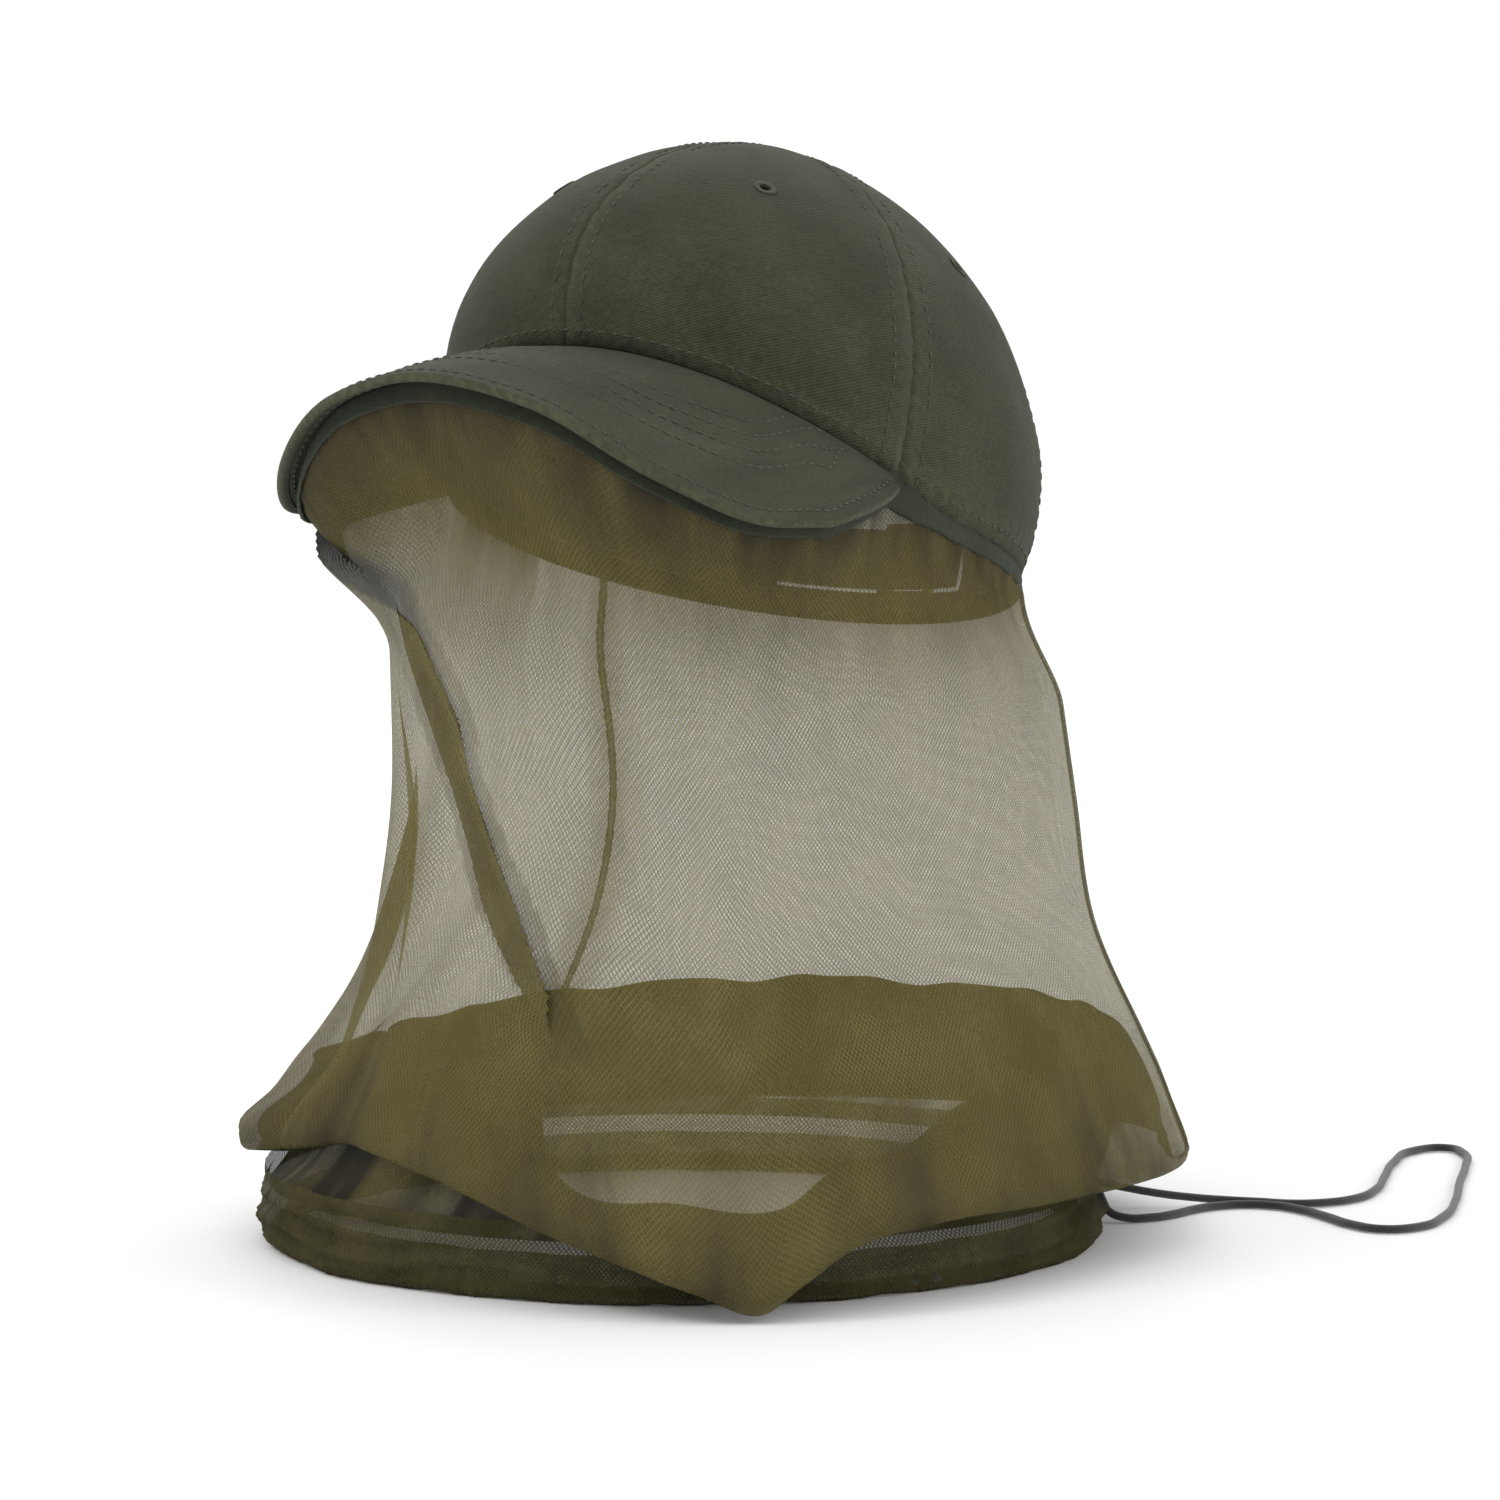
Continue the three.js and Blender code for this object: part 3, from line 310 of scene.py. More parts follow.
def cloth_sheet(name, columns, rows, place, material, cut=None, closed=False, thickness=0.0, flip=False,
                marks=None):
    """A sheet of cloth: a grid whose points go where place(across, down) says, both from 0 to 1. Its UV
    runs in metres along the cloth, or over the cut size where that is given. marks(across, down) is kept on
    its points: how rubbed the cloth is there, or on net, how much it is made denser and darkened with painted
    shade. The sheet thickens inward."""
    bm = bmesh.new()
    uv = bm.loops.layers.uv.new("cloth")
    # This layer keeps rubbed wear on twill, and on net its painted shade and extra density.
    worn = bm.verts.layers.float.new("marks")
    bmesh.ops.create_grid(bm, x_segments=columns, y_segments=rows, size=0.5)
    cell = {v: (round((v.co.x + 0.5) * columns), round((v.co.y + 0.5) * rows)) for v in bm.verts}
    for v in bm.verts:
        v.co = place(cell[v][0] / columns, cell[v][1] / rows)
    spot = {cell[v]: v.co.copy() for v in bm.verts}
    middle = columns // 2
    along = {}
    down_length = 0.0
    for r in range(rows + 1):
        if r:
            down_length += (spot[middle, r] - spot[middle, r - 1]).length
        along[middle, r] = (0.0, down_length)
        for c in range(middle + 1, columns + 1):
            along[c, r] = (along[c - 1, r][0] + (spot[c, r] - spot[c - 1, r]).length, down_length)
        for c in range(middle - 1, -1, -1):
            along[c, r] = (along[c + 1, r][0] - (spot[c, r] - spot[c + 1, r]).length, down_length)
    for v in bm.verts:
        v[worn] = marks(cell[v][0] / columns, cell[v][1] / rows) if marks else 0.0
    for face in bm.faces:
        for loop in face.loops:
            c, r = cell[loop.vert]
            loop[uv].uv = (c / columns * cut[0], r / rows * cut[1]) if cut else along[c, r]
    if closed:
        bmesh.ops.remove_doubles(bm, verts=bm.verts, dist=1e-6)
    bm.normal_update()
    middle_point = Vector((0, 0, -0.05))
    facing = sum(f.normal.dot(f.calc_center_median() - middle_point) * f.calc_area() for f in bm.faces)
    if (facing < 0) != flip:
        bmesh.ops.reverse_faces(bm, faces=bm.faces)
    sheet = piece_from(bm, name, material)
    if thickness:
        wall = sheet.modifiers.new("thickness", "SOLIDIFY")
        wall.thickness = thickness
        wall.offset = -1
    return sheet


WAVE_BAND = 0.314  # metres between the bands of a wave texture whose scale is 1


def twill_finish(name, dark, light, rib=0.75 * MM, uv=True, roughness=0.88):
    """Washed cotton twill: fine slanting ribs, uneven yarn, faded patches, and paler where it is rubbed."""
    material, shader = finish(name, roughness, sheen=0.04)
    if uv:
        coords = add(material, "UVMap", uv_map="cloth").outputs[0]
    else:
        coords = add(material, "TexCoord").outputs["Object"]
    slanted = add(material, "Mapping", {"Vector": coords, "Rotation": (0, 0.35, radians(58))})
    ribs = add(material, "TexWave", {"Vector": slanted, "Scale": WAVE_BAND / rib, "Distortion": 0.6,
                                     "Detail": 1.0, "Detail Scale": 1.5}, bands_direction="X")
    yarn_coords = add(material, "Mapping", {"Vector": slanted, "Scale": (1, 0.25, 1)})
    yarn = patches(material, yarn_coords, 0.6 * MM, 0.3, 0.7, 2.0)
    fade = patches(material, coords, 32 * MM, 0.35, 0.68, 5.0)
    lint = patches(material, coords, 2.6 * MM, 0.42, 0.66, 4.0)
    tone = blend_colours(material, fade, dark, light)
    grain = calc(material, "MULTIPLY_ADD", ribs.outputs["Fac"], 0.30, calc(material, "MULTIPLY", yarn, 0.28))
    grain = calc(material, "ADD", grain, calc(material, "MULTIPLY", lint, 0.16))
    shade = add(material, "Mix", {"Factor": 1.0}, data_type="RGBA", blend_type="MULTIPLY")
    feed(material, shade.inputs[6], tone)
    spread = add(material, "MapRange", {0: grain, 1: 0.0, 2: 0.74, 3: 0.55, 4: 1.42})
    feed(material, shade.inputs[7], spread)
    wear = add(material, "Attribute", attribute_name="marks")
    rubbed = calc(material, "MULTIPLY", wear.outputs["Fac"], calc(material, "MULTIPLY_ADD", lint, 0.7, 0.3))
    pale = [c * 1.7 for c in light[:3]] + [1]
    feed(material, shader.inputs["Base Color"], blend_colours(material, rubbed, shade.outputs[2], pale))
    rough = add(material, "MapRange", {0: lint, 3: roughness - 0.08, 4: roughness + 0.08})
    feed(material, shader.inputs["Roughness"], rough)
    bump(material, shader, calc(material, "ADD", ribs.outputs["Fac"], yarn), 0.00016, 0.8)
    return material


OLIVE_DARK = (0.032, 0.038, 0.020, 1)
OLIVE_LIGHT = (0.048, 0.055, 0.030, 1)
crown_twill = twill_finish("olive_twill", OLIVE_DARK, OLIVE_LIGHT)


def cloth_swell(spot, size, height):
    """Slow unevenness of worn cloth at a place."""
    return height * noise.noise(spot / size)


def crown_rise(base):
    """How far the worn cloth stands out from the crown's plain shape at a point of it."""
    fade = clamp(hypot(base.x, base.y + CROWN_LEAN) / (30 * MM))
    return (cloth_swell(base, 0.045, 1.1 * MM) + cloth_swell(base, 0.016, 0.35 * MM)) * fade - 0.6 * MM


def on_cloth(angle, level, lift=0.12 * MM):
    """Point just above the crown's cloth."""
    return on_crown(angle, level, -crown_rise(crown_point(angle, level)) - lift)


PLAIN_SHARE = 0.45  # share of a rear gore's columns that lie before the arch of the opening


def crown_panel(index):
    """The shape of one gore, and how rubbed it is. A rear one is cut away along the arch of the opening."""
    start, end = SEAMS[index], SEAMS[index + 1]

    def shape(across, down):
        angle = lerp(start, end, across)
        if index in (2, 3):
            side = 1 if index == 2 else -1
            edge = OPENING_HALF_ANGLE / (pi - REAR_SEAM)
            share = across if side == 1 else 1 - across
            if share < PLAIN_SHARE:
                share = share / PLAIN_SHARE * (1 - edge)
            else:
                share = 1 - edge * cos((share - PLAIN_SHARE) / (1 - PLAIN_SHARE) * pi / 2)
            angle = lerp(start, end, share if side == 1 else 1 - share)
        level = lerp(level_at(angle, lower_edge(angle)), level_at_radius(angle, CROWN_EYE), down ** 0.9)
        base = crown_point(angle, level)
        radius = hypot(base.x, base.y + CROWN_LEAN)
        to_seam = min(angle - start, end - angle) * radius
        groove = SEAM_DIP * exp(-(to_seam / (0.9 * MM)) ** 2)
        lift = 0.18 * MM * exp(-((to_seam - 3 * MM) / (2.5 * MM)) ** 2)
        gathers = sin(base.z / (1.4 * MM) + 4 * noise.noise(base / 0.02))
        pucker = 0.26 * MM * exp(-(to_seam / (9 * MM)) ** 2) * gathers
        to_rim = base.z - lower_edge(angle)
        pucker += 0.25 * MM * exp(-(to_rim / (8 * MM)) ** 2) * sin(angle * 75 + 5 * noise.noise(base / 0.03))
        top_fade = clamp(radius / (30 * MM))
        return on_crown(angle, level, groove - (lift + pucker) * top_fade - crown_rise(base))

    def rubbed(across, down):
        side = min(across, 1 - across)
        return 0.30 * exp(-(side / 0.05) ** 2) + 0.55 * exp(-(down / 0.03) ** 2)

    return shape, rubbed


EYELET_DROP = 30 * MM
EYELET_HOLE = 1.7 * MM


def eyelet_place(index):
    angle = (SEAMS[index] + SEAMS[index + 1]) / 2
    return angle, level_at(angle, CROWN_HEIGHT - EYELET_DROP)


def outward_at(angle, level):
    return TILT @ crown_normal(angle, level)


def cut_hole(piece, place, direction, radius):
    """Cuts a round hole through a piece's finished wall."""
    drill = bmesh.new()
    turn = Vector((0, 0, 1)).rotation_difference(direction).to_matrix().to_4x4()
    bmesh.ops.create_cone(drill, cap_ends=True, segments=24, radius1=radius, radius2=radius, depth=0.012,
                          matrix=Matrix.Translation(place) @ turn)
    tool = piece_from(drill, "drill", None)
    cut = piece.modifiers.new("hole", "BOOLEAN")
    cut.object = tool
    bpy.context.view_layer.update()
    done = bpy.data.meshes.new_from_object(piece.evaluated_get(bpy.context.evaluated_depsgraph_get()))
    piece.modifiers.clear()
    piece.data = done
    bpy.data.objects.remove(tool)


for index, side in enumerate(PANEL_NAMES):
    shape, rubbed = crown_panel(index)
    panel = cloth_sheet("crown_gore_" + side, 44, 46, shape, crown_twill, thickness=TWILL, marks=rubbed)
    angle, level = eyelet_place(index)
    cut_hole(panel, on_crown(angle, level), outward_at(angle, level), EYELET_HOLE)
    belongs(panel, "twill", "crown_panel_" + side)

# ---- Crown stitching -----------------------------------------------------------------------------------
# Two needle lines of matching thread hold each seam open, one on each side of it. One line runs round the
# crown above the rim, and one round the arch. Each stitch is a small bead of thread pressed into the cloth.
STITCH_LENGTH = 2.7 * MM
STITCH_GAP = 1.1 * MM
STITCH_RADIUS = 0.30 * MM
THREAD_LIFT = 0.1 * MM
SEAM_TO_NEEDLE = 6 * MM
RIM_TO_NEEDLE = 4 * MM
ARCH_TO_NEEDLE = 3.2 * MM
SEAM_ROW_END = 16 * MM


def thread_finish(name, colour):
    """Twisted cotton thread: two tones wound round each other, with a soft sheen."""
    material, shader = finish(name, 0.8, sheen=0.1)
    coords = add(material, "TexCoord").outputs["Object"]
    twist = add(material, "TexWave", {"Vector": coords, "Scale": 700.0, "Distortion": 2.0, "Detail": 1.0},
                bands_direction="DIAGONAL")
    uneven = patches(material, coords, 14 * MM, 0.35, 0.65)
    dark = [c * 0.62 for c in colour[:3]] + [1]
    pale = [c * 1.25 for c in colour[:3]] + [1]
    tone = blend_colours(material, uneven, colour, pale)
    feed(material, shader.inputs["Base Color"], blend_colours(material, twist.outputs["Fac"], dark, tone))
    bump(material, shader, twist.outputs["Fac"], 0.0001)
    return material


olive_thread = thread_finish("olive_thread", (0.068, 0.078, 0.052, 1))
bead = bmesh.new()
bmesh.ops.create_uvsphere(bead, u_segments=6, v_segments=4, radius=1)
bead.verts.index_update()
BEAD_POINTS = [v.co.copy() for v in bead.verts]
BEAD_FACES = [[v.index for v in face.verts] for face in bead.faces]
bead.free()


def sew(bm, line, length=STITCH_LENGTH, gap=STITCH_GAP, radius=STITCH_RADIUS):
    """Adds a row of stitches along a line of (place, outward) pairs."""
    places = [spot for spot, _ in line]
    travelled = [0.0]
    for a, b in zip(places, places[1:]):
        travelled.append(travelled[-1] + (b - a).length)
    pitch = length + gap
    count = int(travelled[-1] / pitch)
    leg = 0
    for n in range(count):
        middle = (n + 0.5) * pitch
        while travelled[leg + 1] < middle:
            leg += 1
        share = (middle - travelled[leg]) / (travelled[leg + 1] - travelled[leg])
        spot = places[leg].lerp(places[leg + 1], share)
        outward = line[leg][1].lerp(line[leg + 1][1], share).normalized()
        forward = (places[leg + 1] - places[leg]).normalized()
        sideways = outward.cross(forward).normalized()
        forward = sideways.cross(outward)
        turn = Matrix((forward, sideways, outward)).transposed()
        size = Matrix.Diagonal((length / 2, radius, radius * 0.75))
        stitch = [bm.verts.new(spot + turn @ size @ point) for point in BEAD_POINTS]
        for corners in BEAD_FACES:
            bm.faces.new([stitch[n] for n in corners])


def crown_line(spots):
    """A line of places and outward directions on the crown, for a row of stitches."""
    return [(on_cloth(angle, level), outward_at(angle, level)) for angle, level in spots]


def steps(start, end, count):
    return [lerp(start, end, n / count) for n in range(count + 1)]


seam_rows = bmesh.new()
for seam in SEAMS[:-1]:
    for side in (-1, 1):
        def beside(level):
            p = crown_point(seam, level)
            return seam + side * min(SEAM_TO_NEEDLE / max(hypot(p.x, p.y + CROWN_LEAN), 1e-4), radians(24))
        foot = level_at(seam, lower_edge(beside(0.0)) + 2 * MM)
        rise = steps(foot, level_at_radius(seam, SEAM_ROW_END), 60)
        sew(seam_rows, crown_line([(beside(level), level) for level in rise]))
rim_spots = []
for angle in steps(-pi + OPENING_HALF_ANGLE * 1.25, pi - OPENING_HALF_ANGLE * 1.25, 160):
    rim_spots.append((angle, level_at(angle, lower_edge(angle) + RIM_TO_NEEDLE)))
sew(seam_rows, crown_line(rim_spots))
arch_spots = []
for turn in steps(-1.25, 1.25, 60):
    angle = pi + (OPENING_HALF_ANGLE + radians(2.6)) * sin(turn)
    arch_spots.append((angle, level_at(angle, (OPENING_HEIGHT + ARCH_TO_NEEDLE) * cos(turn))))
sew(seam_rows, crown_line(arch_spots))
crown_stitching = piece_from(seam_rows, "crown_stitching", olive_thread)
belongs(crown_stitching, "sewn_thread")

# ---- Eyelets -------------------------------------------------------------------------------------------
# Six vent holes, one near the top of each gore, worked round with close radial stitches of the same thread.
EYELET_RADIUS = 2.7 * MM
EYELET_WIDTH = 2.1 * MM
EYELET_STITCHES = 26

for index, side in enumerate(PANEL_NAMES):
    angle, level = eyelet_place(index)
    outward = outward_at(angle, level)
    centre = on_cloth(angle, level)
    right = outward.orthogonal().normalized()
    ring = bmesh.new()
    for n in range(EYELET_STITCHES):
        turn = Quaternion(outward, 2 * pi * n / EYELET_STITCHES)
        ray = turn @ right
        axes = Matrix((ray, outward.cross(ray), outward)).transposed().to_4x4()
        size = Matrix.Diagonal((EYELET_WIDTH / 2, 0.40 * MM, 0.32 * MM, 1))
        bmesh.ops.create_uvsphere(ring, u_segments=8, v_segments=5, radius=1,
                                  matrix=Matrix.Translation(centre + ray * EYELET_RADIUS) @ axes @ size)
    worked = piece_from(ring, "eyelet_stitching_" + side, olive_thread)
    belongs(worked, "sewn_thread", "eyelet_" + side)

# ---- Button and rivet ----------------------------------------------------------------------------------
# A domed metal button covered with the crown's twill closes the point where the gores meet. Its rivet is
# clenched through the cloth and shows inside as a small flat brass disc.
BUTTON_RADIUS = 7.5 * MM
BUTTON_HEIGHT = 2.8 * MM
BUTTON_SUNK = 1.2 * MM
BUTTON_CUT = -0.12
BUTTON_PLEATS = 14
button_twill = twill_finish("button_twill", OLIVE_DARK, OLIVE_LIGHT, uv=False)
button_foot = TILT @ Vector((0, -CROWN_LEAN, CROWN_HEIGHT - BUTTON_SUNK))
dome = bmesh.new()
bmesh.ops.create_uvsphere(dome, u_segments=48, v_segments=24, radius=1)
bmesh.ops.bisect_plane(dome, geom=dome.verts[:] + dome.edges[:] + dome.faces[:], plane_co=(0, 0, BUTTON_CUT),
                       plane_no=(0, 0, -1), clear_outer=True)
bmesh.ops.contextual_create(dome, geom=[e for e in dome.edges if e.is_boundary])
for v in dome.verts:
    turn = atan2(v.co.y, v.co.x)
    gather = 1 + 0.012 * sin(BUTTON_PLEATS * turn) * clamp(1 - v.co.z)
    v.co = Vector((v.co.x * gather * BUTTON_RADIUS, v.co.y * gather * BUTTON_RADIUS,
                   max(v.co.z, -0.05) * BUTTON_HEIGHT + 0.3 * MM))
    v.co = TILT @ v.co + button_foot
button = piece_from(dome, "covered_button", button_twill)
belongs(button, "twill", "top_button")


def brass_finish(name):
    """Antique brass: dull brown lacquer over yellow metal, worn bright in patches, with fine scratches."""
    material, shader = finish(name, 0.4, metallic=1.0)
    coords = add(material, "TexCoord").outputs["Object"]
    tarnish = patches(material, coords, 3 * MM, 0.35, 0.65, 5.0)
    scratches = add(material, "TexNoise", {"Vector": add(material, "Mapping", {"Vector": coords,
                                           "Scale": (60, 9000, 900)}), "Scale": 1.0, "Detail": 3.0})
    feed(material, shader.inputs["Base Color"], blend_colours(material, tarnish, (0.12, 0.095, 0.055, 1),
                                                              (0.34, 0.27, 0.15, 1)))
    rough = add(material, "MapRange", {0: scratches, 1: 0.3, 2: 0.7, 3: 0.28, 4: 0.55})
    feed(material, shader.inputs["Roughness"], rough)
    bump(material, shader, scratches, 0.00003)
    return material


antique_brass = brass_finish("antique_brass")


def repaint(node, material):
    """Gives a solid of the frame its finish."""
    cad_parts[node].data.materials.clear()
    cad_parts[node].data.materials.append(material)


repaint("button_rivet", antique_brass)

# ---- Visor ---------------------------------------------------------------------------------------------
# A stiff curved board between two twill covers. The upper cover is turned round the edge and sewn under it,
# and rows of stitches parallel to the edge hold cloth and board together.
VISOR_REACH = 68 * MM
VISOR_OVERHANG = 3.5 * MM
VISOR_DROP = 29 * MM
VISOR_DIP = 23 * MM
VISOR_CAMBER = 2.5 * MM
VISOR_STACK = 2.8 * MM
VISOR_CORNER = 3.6 * MM
VISOR_SIDE = 0.8
COVER = 0.5 * MM
COVER_LIP = 3 * MM
CLEAR = 0.3 * MM
CORNER_POINT = crown_point(SIDE_SEAM, 0)
VISOR_OUTLINE = [
    # shares of the visor's half width, of its reach past the corners, and of its dip
    (-1, 0.36, 0.7), (-0.91, 0.58, 1), (-0.72, 0.78, 0.8), (-0.38, 0.95, 0.22),
    (0, 1, 0),
    (0.38, 0.95, 0.22), (0.72, 0.78, 0.8), (0.91, 0.58, 1), (1, 0.36, 0.7),
]


def through(points, share):
    """Point on a smooth curve through some points, its knots set apart by the root of their gaps."""
    points = [Vector(p) for p in points]
    place = share * (len(points) - 1)
    i = min(int(place), len(points) - 2)
    t = place - i
    p1, p2 = points[i], points[i + 1]
    p0 = points[i - 1] if i else p1 * 2 - p2
    p3 = points[i + 2] if i + 2 < len(points) else p2 * 2 - p1
    g0, g1, g2 = (max((b - a).length ** 0.5, 1e-4) for a, b in ((p0, p1), (p1, p2), (p2, p3)))
    s1 = ((p1 - p0) / g0 - (p2 - p0) / (g0 + g1) + (p2 - p1) / g1) * g1
    s2 = ((p2 - p1) / g1 - (p3 - p1) / (g1 + g2) + (p3 - p2) / g2) * g1
    return p1 + s1 * t + (p1 * -3 + p2 * 3 - s1 * 2 - s2) * t * t + (p1 * 2 - p2 * 2 + s1 + s2) * t ** 3


def visor_edge(across):
    half_width = HALF_WIDTH + VISOR_OVERHANG
    reach = RIM_FRONT + VISOR_REACH + CORNER_POINT.y
    front = rim_height(0) - VISOR_DROP
    side = abs(across)
    s = through(VISOR_OUTLINE, 0.5 + 0.5 * min(side, VISOR_SIDE) / VISOR_SIDE)
    edge = Vector((s.x * half_width, CORNER_POINT.y - s.y * reach, front - s.z * VISOR_DIP))
    if side > VISOR_SIDE:
        corner = CORNER_POINT + Vector((VISOR_CORNER, -VISOR_CORNER, -VISOR_CORNER))
        bend = Vector((half_width, lerp(edge.y, corner.y, 0.7), lerp(edge.z, corner.z, 0.62)))
        t = (side - VISOR_SIDE) / (1 - VISOR_SIDE)
        edge = edge * (1 - t) ** 2 + bend * 2 * t * (1 - t) + corner * t * t
    if across < 0:
        edge.x = -edge.x
    return edge


def visor_point(across, out):
    """Point on the visor's upper face in the cap's frame: out runs from 0 at the rim to 1 at the edge."""
    angle = across * SIDE_SEAM
    root = crown_point(angle, 0) - crown_normal(angle, 0) * (TWILL / 2) - Vector((0, 0, CLEAR))
    p = root.lerp(visor_edge(across), out)
    p.z += VISOR_CAMBER * sin(pi * out) * (1 - across * across)
    return p


def visor_frame(across, out):
    step = 1e-3
    along = visor_point(min(across + step, 1), out) - visor_point(max(across - step, -1), out)
    outward = visor_point(across, min(out + step, 1)) - visor_point(across, max(out - step, 0))
    up = outward.cross(along).normalized()
    return (up if up.z > 0 else -up), outward.normalized()


def visor_depth(across, out, depth):
    return visor_point(across, out) - visor_frame(across, out)[0] * depth


def edge_length(across):
    return (visor_point(across, 0) - visor_point(across, 1)).length


VISOR_ENDS = 0.985
TOP_SHARE = 0.72
BEND_SHARE = 0.92


def visor_top(across, down):
    """Upper cover: along the top, round the edge, then back under it."""
    side = lerp(-VISOR_ENDS, VISOR_ENDS, across)
    radius = VISOR_STACK / 2
    last = 1 - radius / edge_length(side)
    if down < TOP_SHARE:
        spot = visor_depth(side, last * down / TOP_SHARE, 0)
        wave = 0.22 * MM * noise.noise(spot / 0.011) + 0.4 * MM * noise.noise(spot / 0.05)
        return TILT @ (spot + visor_frame(side, last)[0] * wave * sin(pi * down / TOP_SHARE))
    up, outward = visor_frame(side, last)
    centre = visor_depth(side, last, radius)
    if down < BEND_SHARE:
        turn = lerp(pi / 2, -pi / 2, (down - TOP_SHARE) / (BEND_SHARE - TOP_SHARE))
        return TILT @ (centre + outward * radius * cos(turn) + up * radius * sin(turn))
    back = (down - BEND_SHARE) / (1 - BEND_SHARE) * (COVER_LIP - radius)
    return TILT @ (centre - outward * back - up * radius)


def visor_rubbed(across, down):
    return 0.9 * exp(-((down - TOP_SHARE - 0.09) / 0.07) ** 2)


visor_cloth = cloth_sheet("visor_upper_cloth", 120, 64, visor_top, crown_twill, thickness=COVER,
                          marks=visor_rubbed)
belongs(visor_cloth, "twill", "visor_top_cover")


def visor_under(across, down):
    side = lerp(-VISOR_ENDS, VISOR_ENDS, across)
    last = 1 - (COVER_LIP + CLEAR) / edge_length(side)
    spot = visor_depth(side, last * down, VISOR_STACK)
    return TILT @ (spot + Vector((0, 0, 0.2 * MM * noise.noise(spot / 0.012))))


LINING_DARK = (0.026, 0.031, 0.018, 1)
under_twill = twill_finish("visor_lining_twill", LINING_DARK, (0.036, 0.042, 0.025, 1))
visor_lining = cloth_sheet("visor_lower_cloth", 100, 40, visor_under, under_twill, thickness=COVER, flip=True)
belongs(visor_lining, "twill", "visor_bottom_cover")

board_finish, board_shader = finish("pressed_board", 0.8)
board_coords = add(board_finish, "TexCoord").outputs["Object"]
board_fibre = patches(board_finish, board_coords, 1.5 * MM, 0.3, 0.7, 6.0)
feed(board_finish, board_shader.inputs["Base Color"], blend_colours(board_finish, board_fibre,
     (0.03, 0.032, 0.028, 1), (0.06, 0.06, 0.052, 1)))
bump(board_finish, board_shader, board_fibre, 0.0002)
repaint("visor_board", board_finish)

VISOR_ROWS = (4.5 * MM, 22 * MM, 29.8 * MM, 37.6 * MM, 45.4 * MM)
visor_rows = bmesh.new()


def inset_share(across, inset):
    """Share of the way out at which the visor's edge is an inset away, measured square to the edge."""
    run = visor_edge(across) - visor_point(across, 0)
    tangent = (visor_edge(min(across + 0.01, 1)) - visor_edge(max(across - 0.01, -1))).normalized()
    return 1 - inset / max((run - tangent * run.dot(tangent)).length, 1 * MM)


for inset in VISOR_ROWS:
    upper, lower = [], []
    for across in steps(-0.97, 0.97, 220):
        out = inset_share(across, inset)
        if out < 0.02:
            continue
        up = TILT @ visor_frame(across, out)[0]
        upper.append((TILT @ visor_depth(across, out, 0) + up * 0.12 * MM, up))
        lower.append((TILT @ visor_depth(across, out, VISOR_STACK) - up * THREAD_LIFT, -up))
    sew(visor_rows, upper)
    sew(visor_rows, lower)
visor_stitching = piece_from(visor_rows, "visor_stitching", olive_thread)
belongs(visor_stitching, "sewn_thread")

# ---- Linings -------------------------------------------------------------------------------------------
# Inside the crown a bias tape covers each seam, a folded cotton sweatband lines the rim, and a facing is
# sewn round the arch of the back opening.
LINING_DEPTH = TWILL + 1.3 * MM
FACING_DEPTH = LINING_DEPTH + 0.9 * MM
TAPE_WIDTH = 16 * MM
LINING = 0.5 * MM
SWEATBAND_HEIGHT = 32 * MM
SWEATBAND = 1.8 * MM
FACING_WIDTH = 8 * MM
COTTON_PITCH = 0.8 * MM

lining_twill = twill_finish("lining_tape_cotton", LINING_DARK, (0.038, 0.044, 0.027, 1), rib=0.5 * MM)
TAPE_NAMES = ["front", "side_left", "rear_left", "back", "rear_right", "side_right"]
tape_rows = bmesh.new()
for seam, side in zip(SEAMS, TAPE_NAMES):
    over = OPENING_HEIGHT + FACING_WIDTH if side == "back" else 0
    foot = max(rim_height(seam) + SWEATBAND_HEIGHT, over) + 2 * MM
    low, high = level_at(seam, foot), level_at_radius(seam, 9 * MM)

    def tape(across, down):
        level = lerp(low, high, down)
        p = crown_point(seam, level)
        half = min(TAPE_WIDTH / 2 / hypot(p.x, p.y + CROWN_LEAN), radians(24))
        return on_crown(seam + lerp(-half, half, across), level, LINING_DEPTH)

    seam_tape = cloth_sheet("bias_tape_" + side, 10, 60, tape, lining_twill, thickness=LINING)
    belongs(seam_tape, "lining_tape", "seam_tape_" + side)
    for edge in (0.1, 0.9):
        row = []
        for down in steps(0, 1, 50):
            inward = -outward_at(seam, lerp(low, high, down))
            row.append((tape(edge, down) + inward * (LINING + THREAD_LIFT), inward))
        sew(tape_rows, row)

cotton, cotton_shader = finish("sweatband_cotton", 0.92, sheen=0.3)
cotton_uv = add(cotton, "UVMap", uv_map="cloth").outputs[0]
cotton_scale = WAVE_BAND / COTTON_PITCH
threads_across = add(cotton, "TexWave", {"Vector": cotton_uv, "Scale": cotton_scale}, bands_direction="X")
threads_down = add(cotton, "TexWave", {"Vector": cotton_uv, "Scale": cotton_scale}, bands_direction="Y")
cotton_weave = calc(cotton, "MULTIPLY", threads_across.outputs["Fac"], threads_down.outputs["Fac"])
cotton_soil = patches(cotton, cotton_uv, 18 * MM, 0.4, 0.7, 4.0)
cotton_tone = blend_colours(cotton, cotton_soil, (0.040, 0.046, 0.030, 1), (0.058, 0.064, 0.043, 1))
cotton_mix = add(cotton, "Mix", {"Factor": 0.5}, data_type="RGBA", blend_type="MULTIPLY")
feed(cotton, cotton_mix.inputs[6], cotton_tone)
feed(cotton, cotton_mix.inputs[7], cotton_weave)
feed(cotton, cotton_shader.inputs["Base Color"], cotton_mix.outputs[2])
bump(cotton, cotton_shader, cotton_weave, 0.0002)

BAND_END = pi - OPENING_HALF_ANGLE - radians(8)


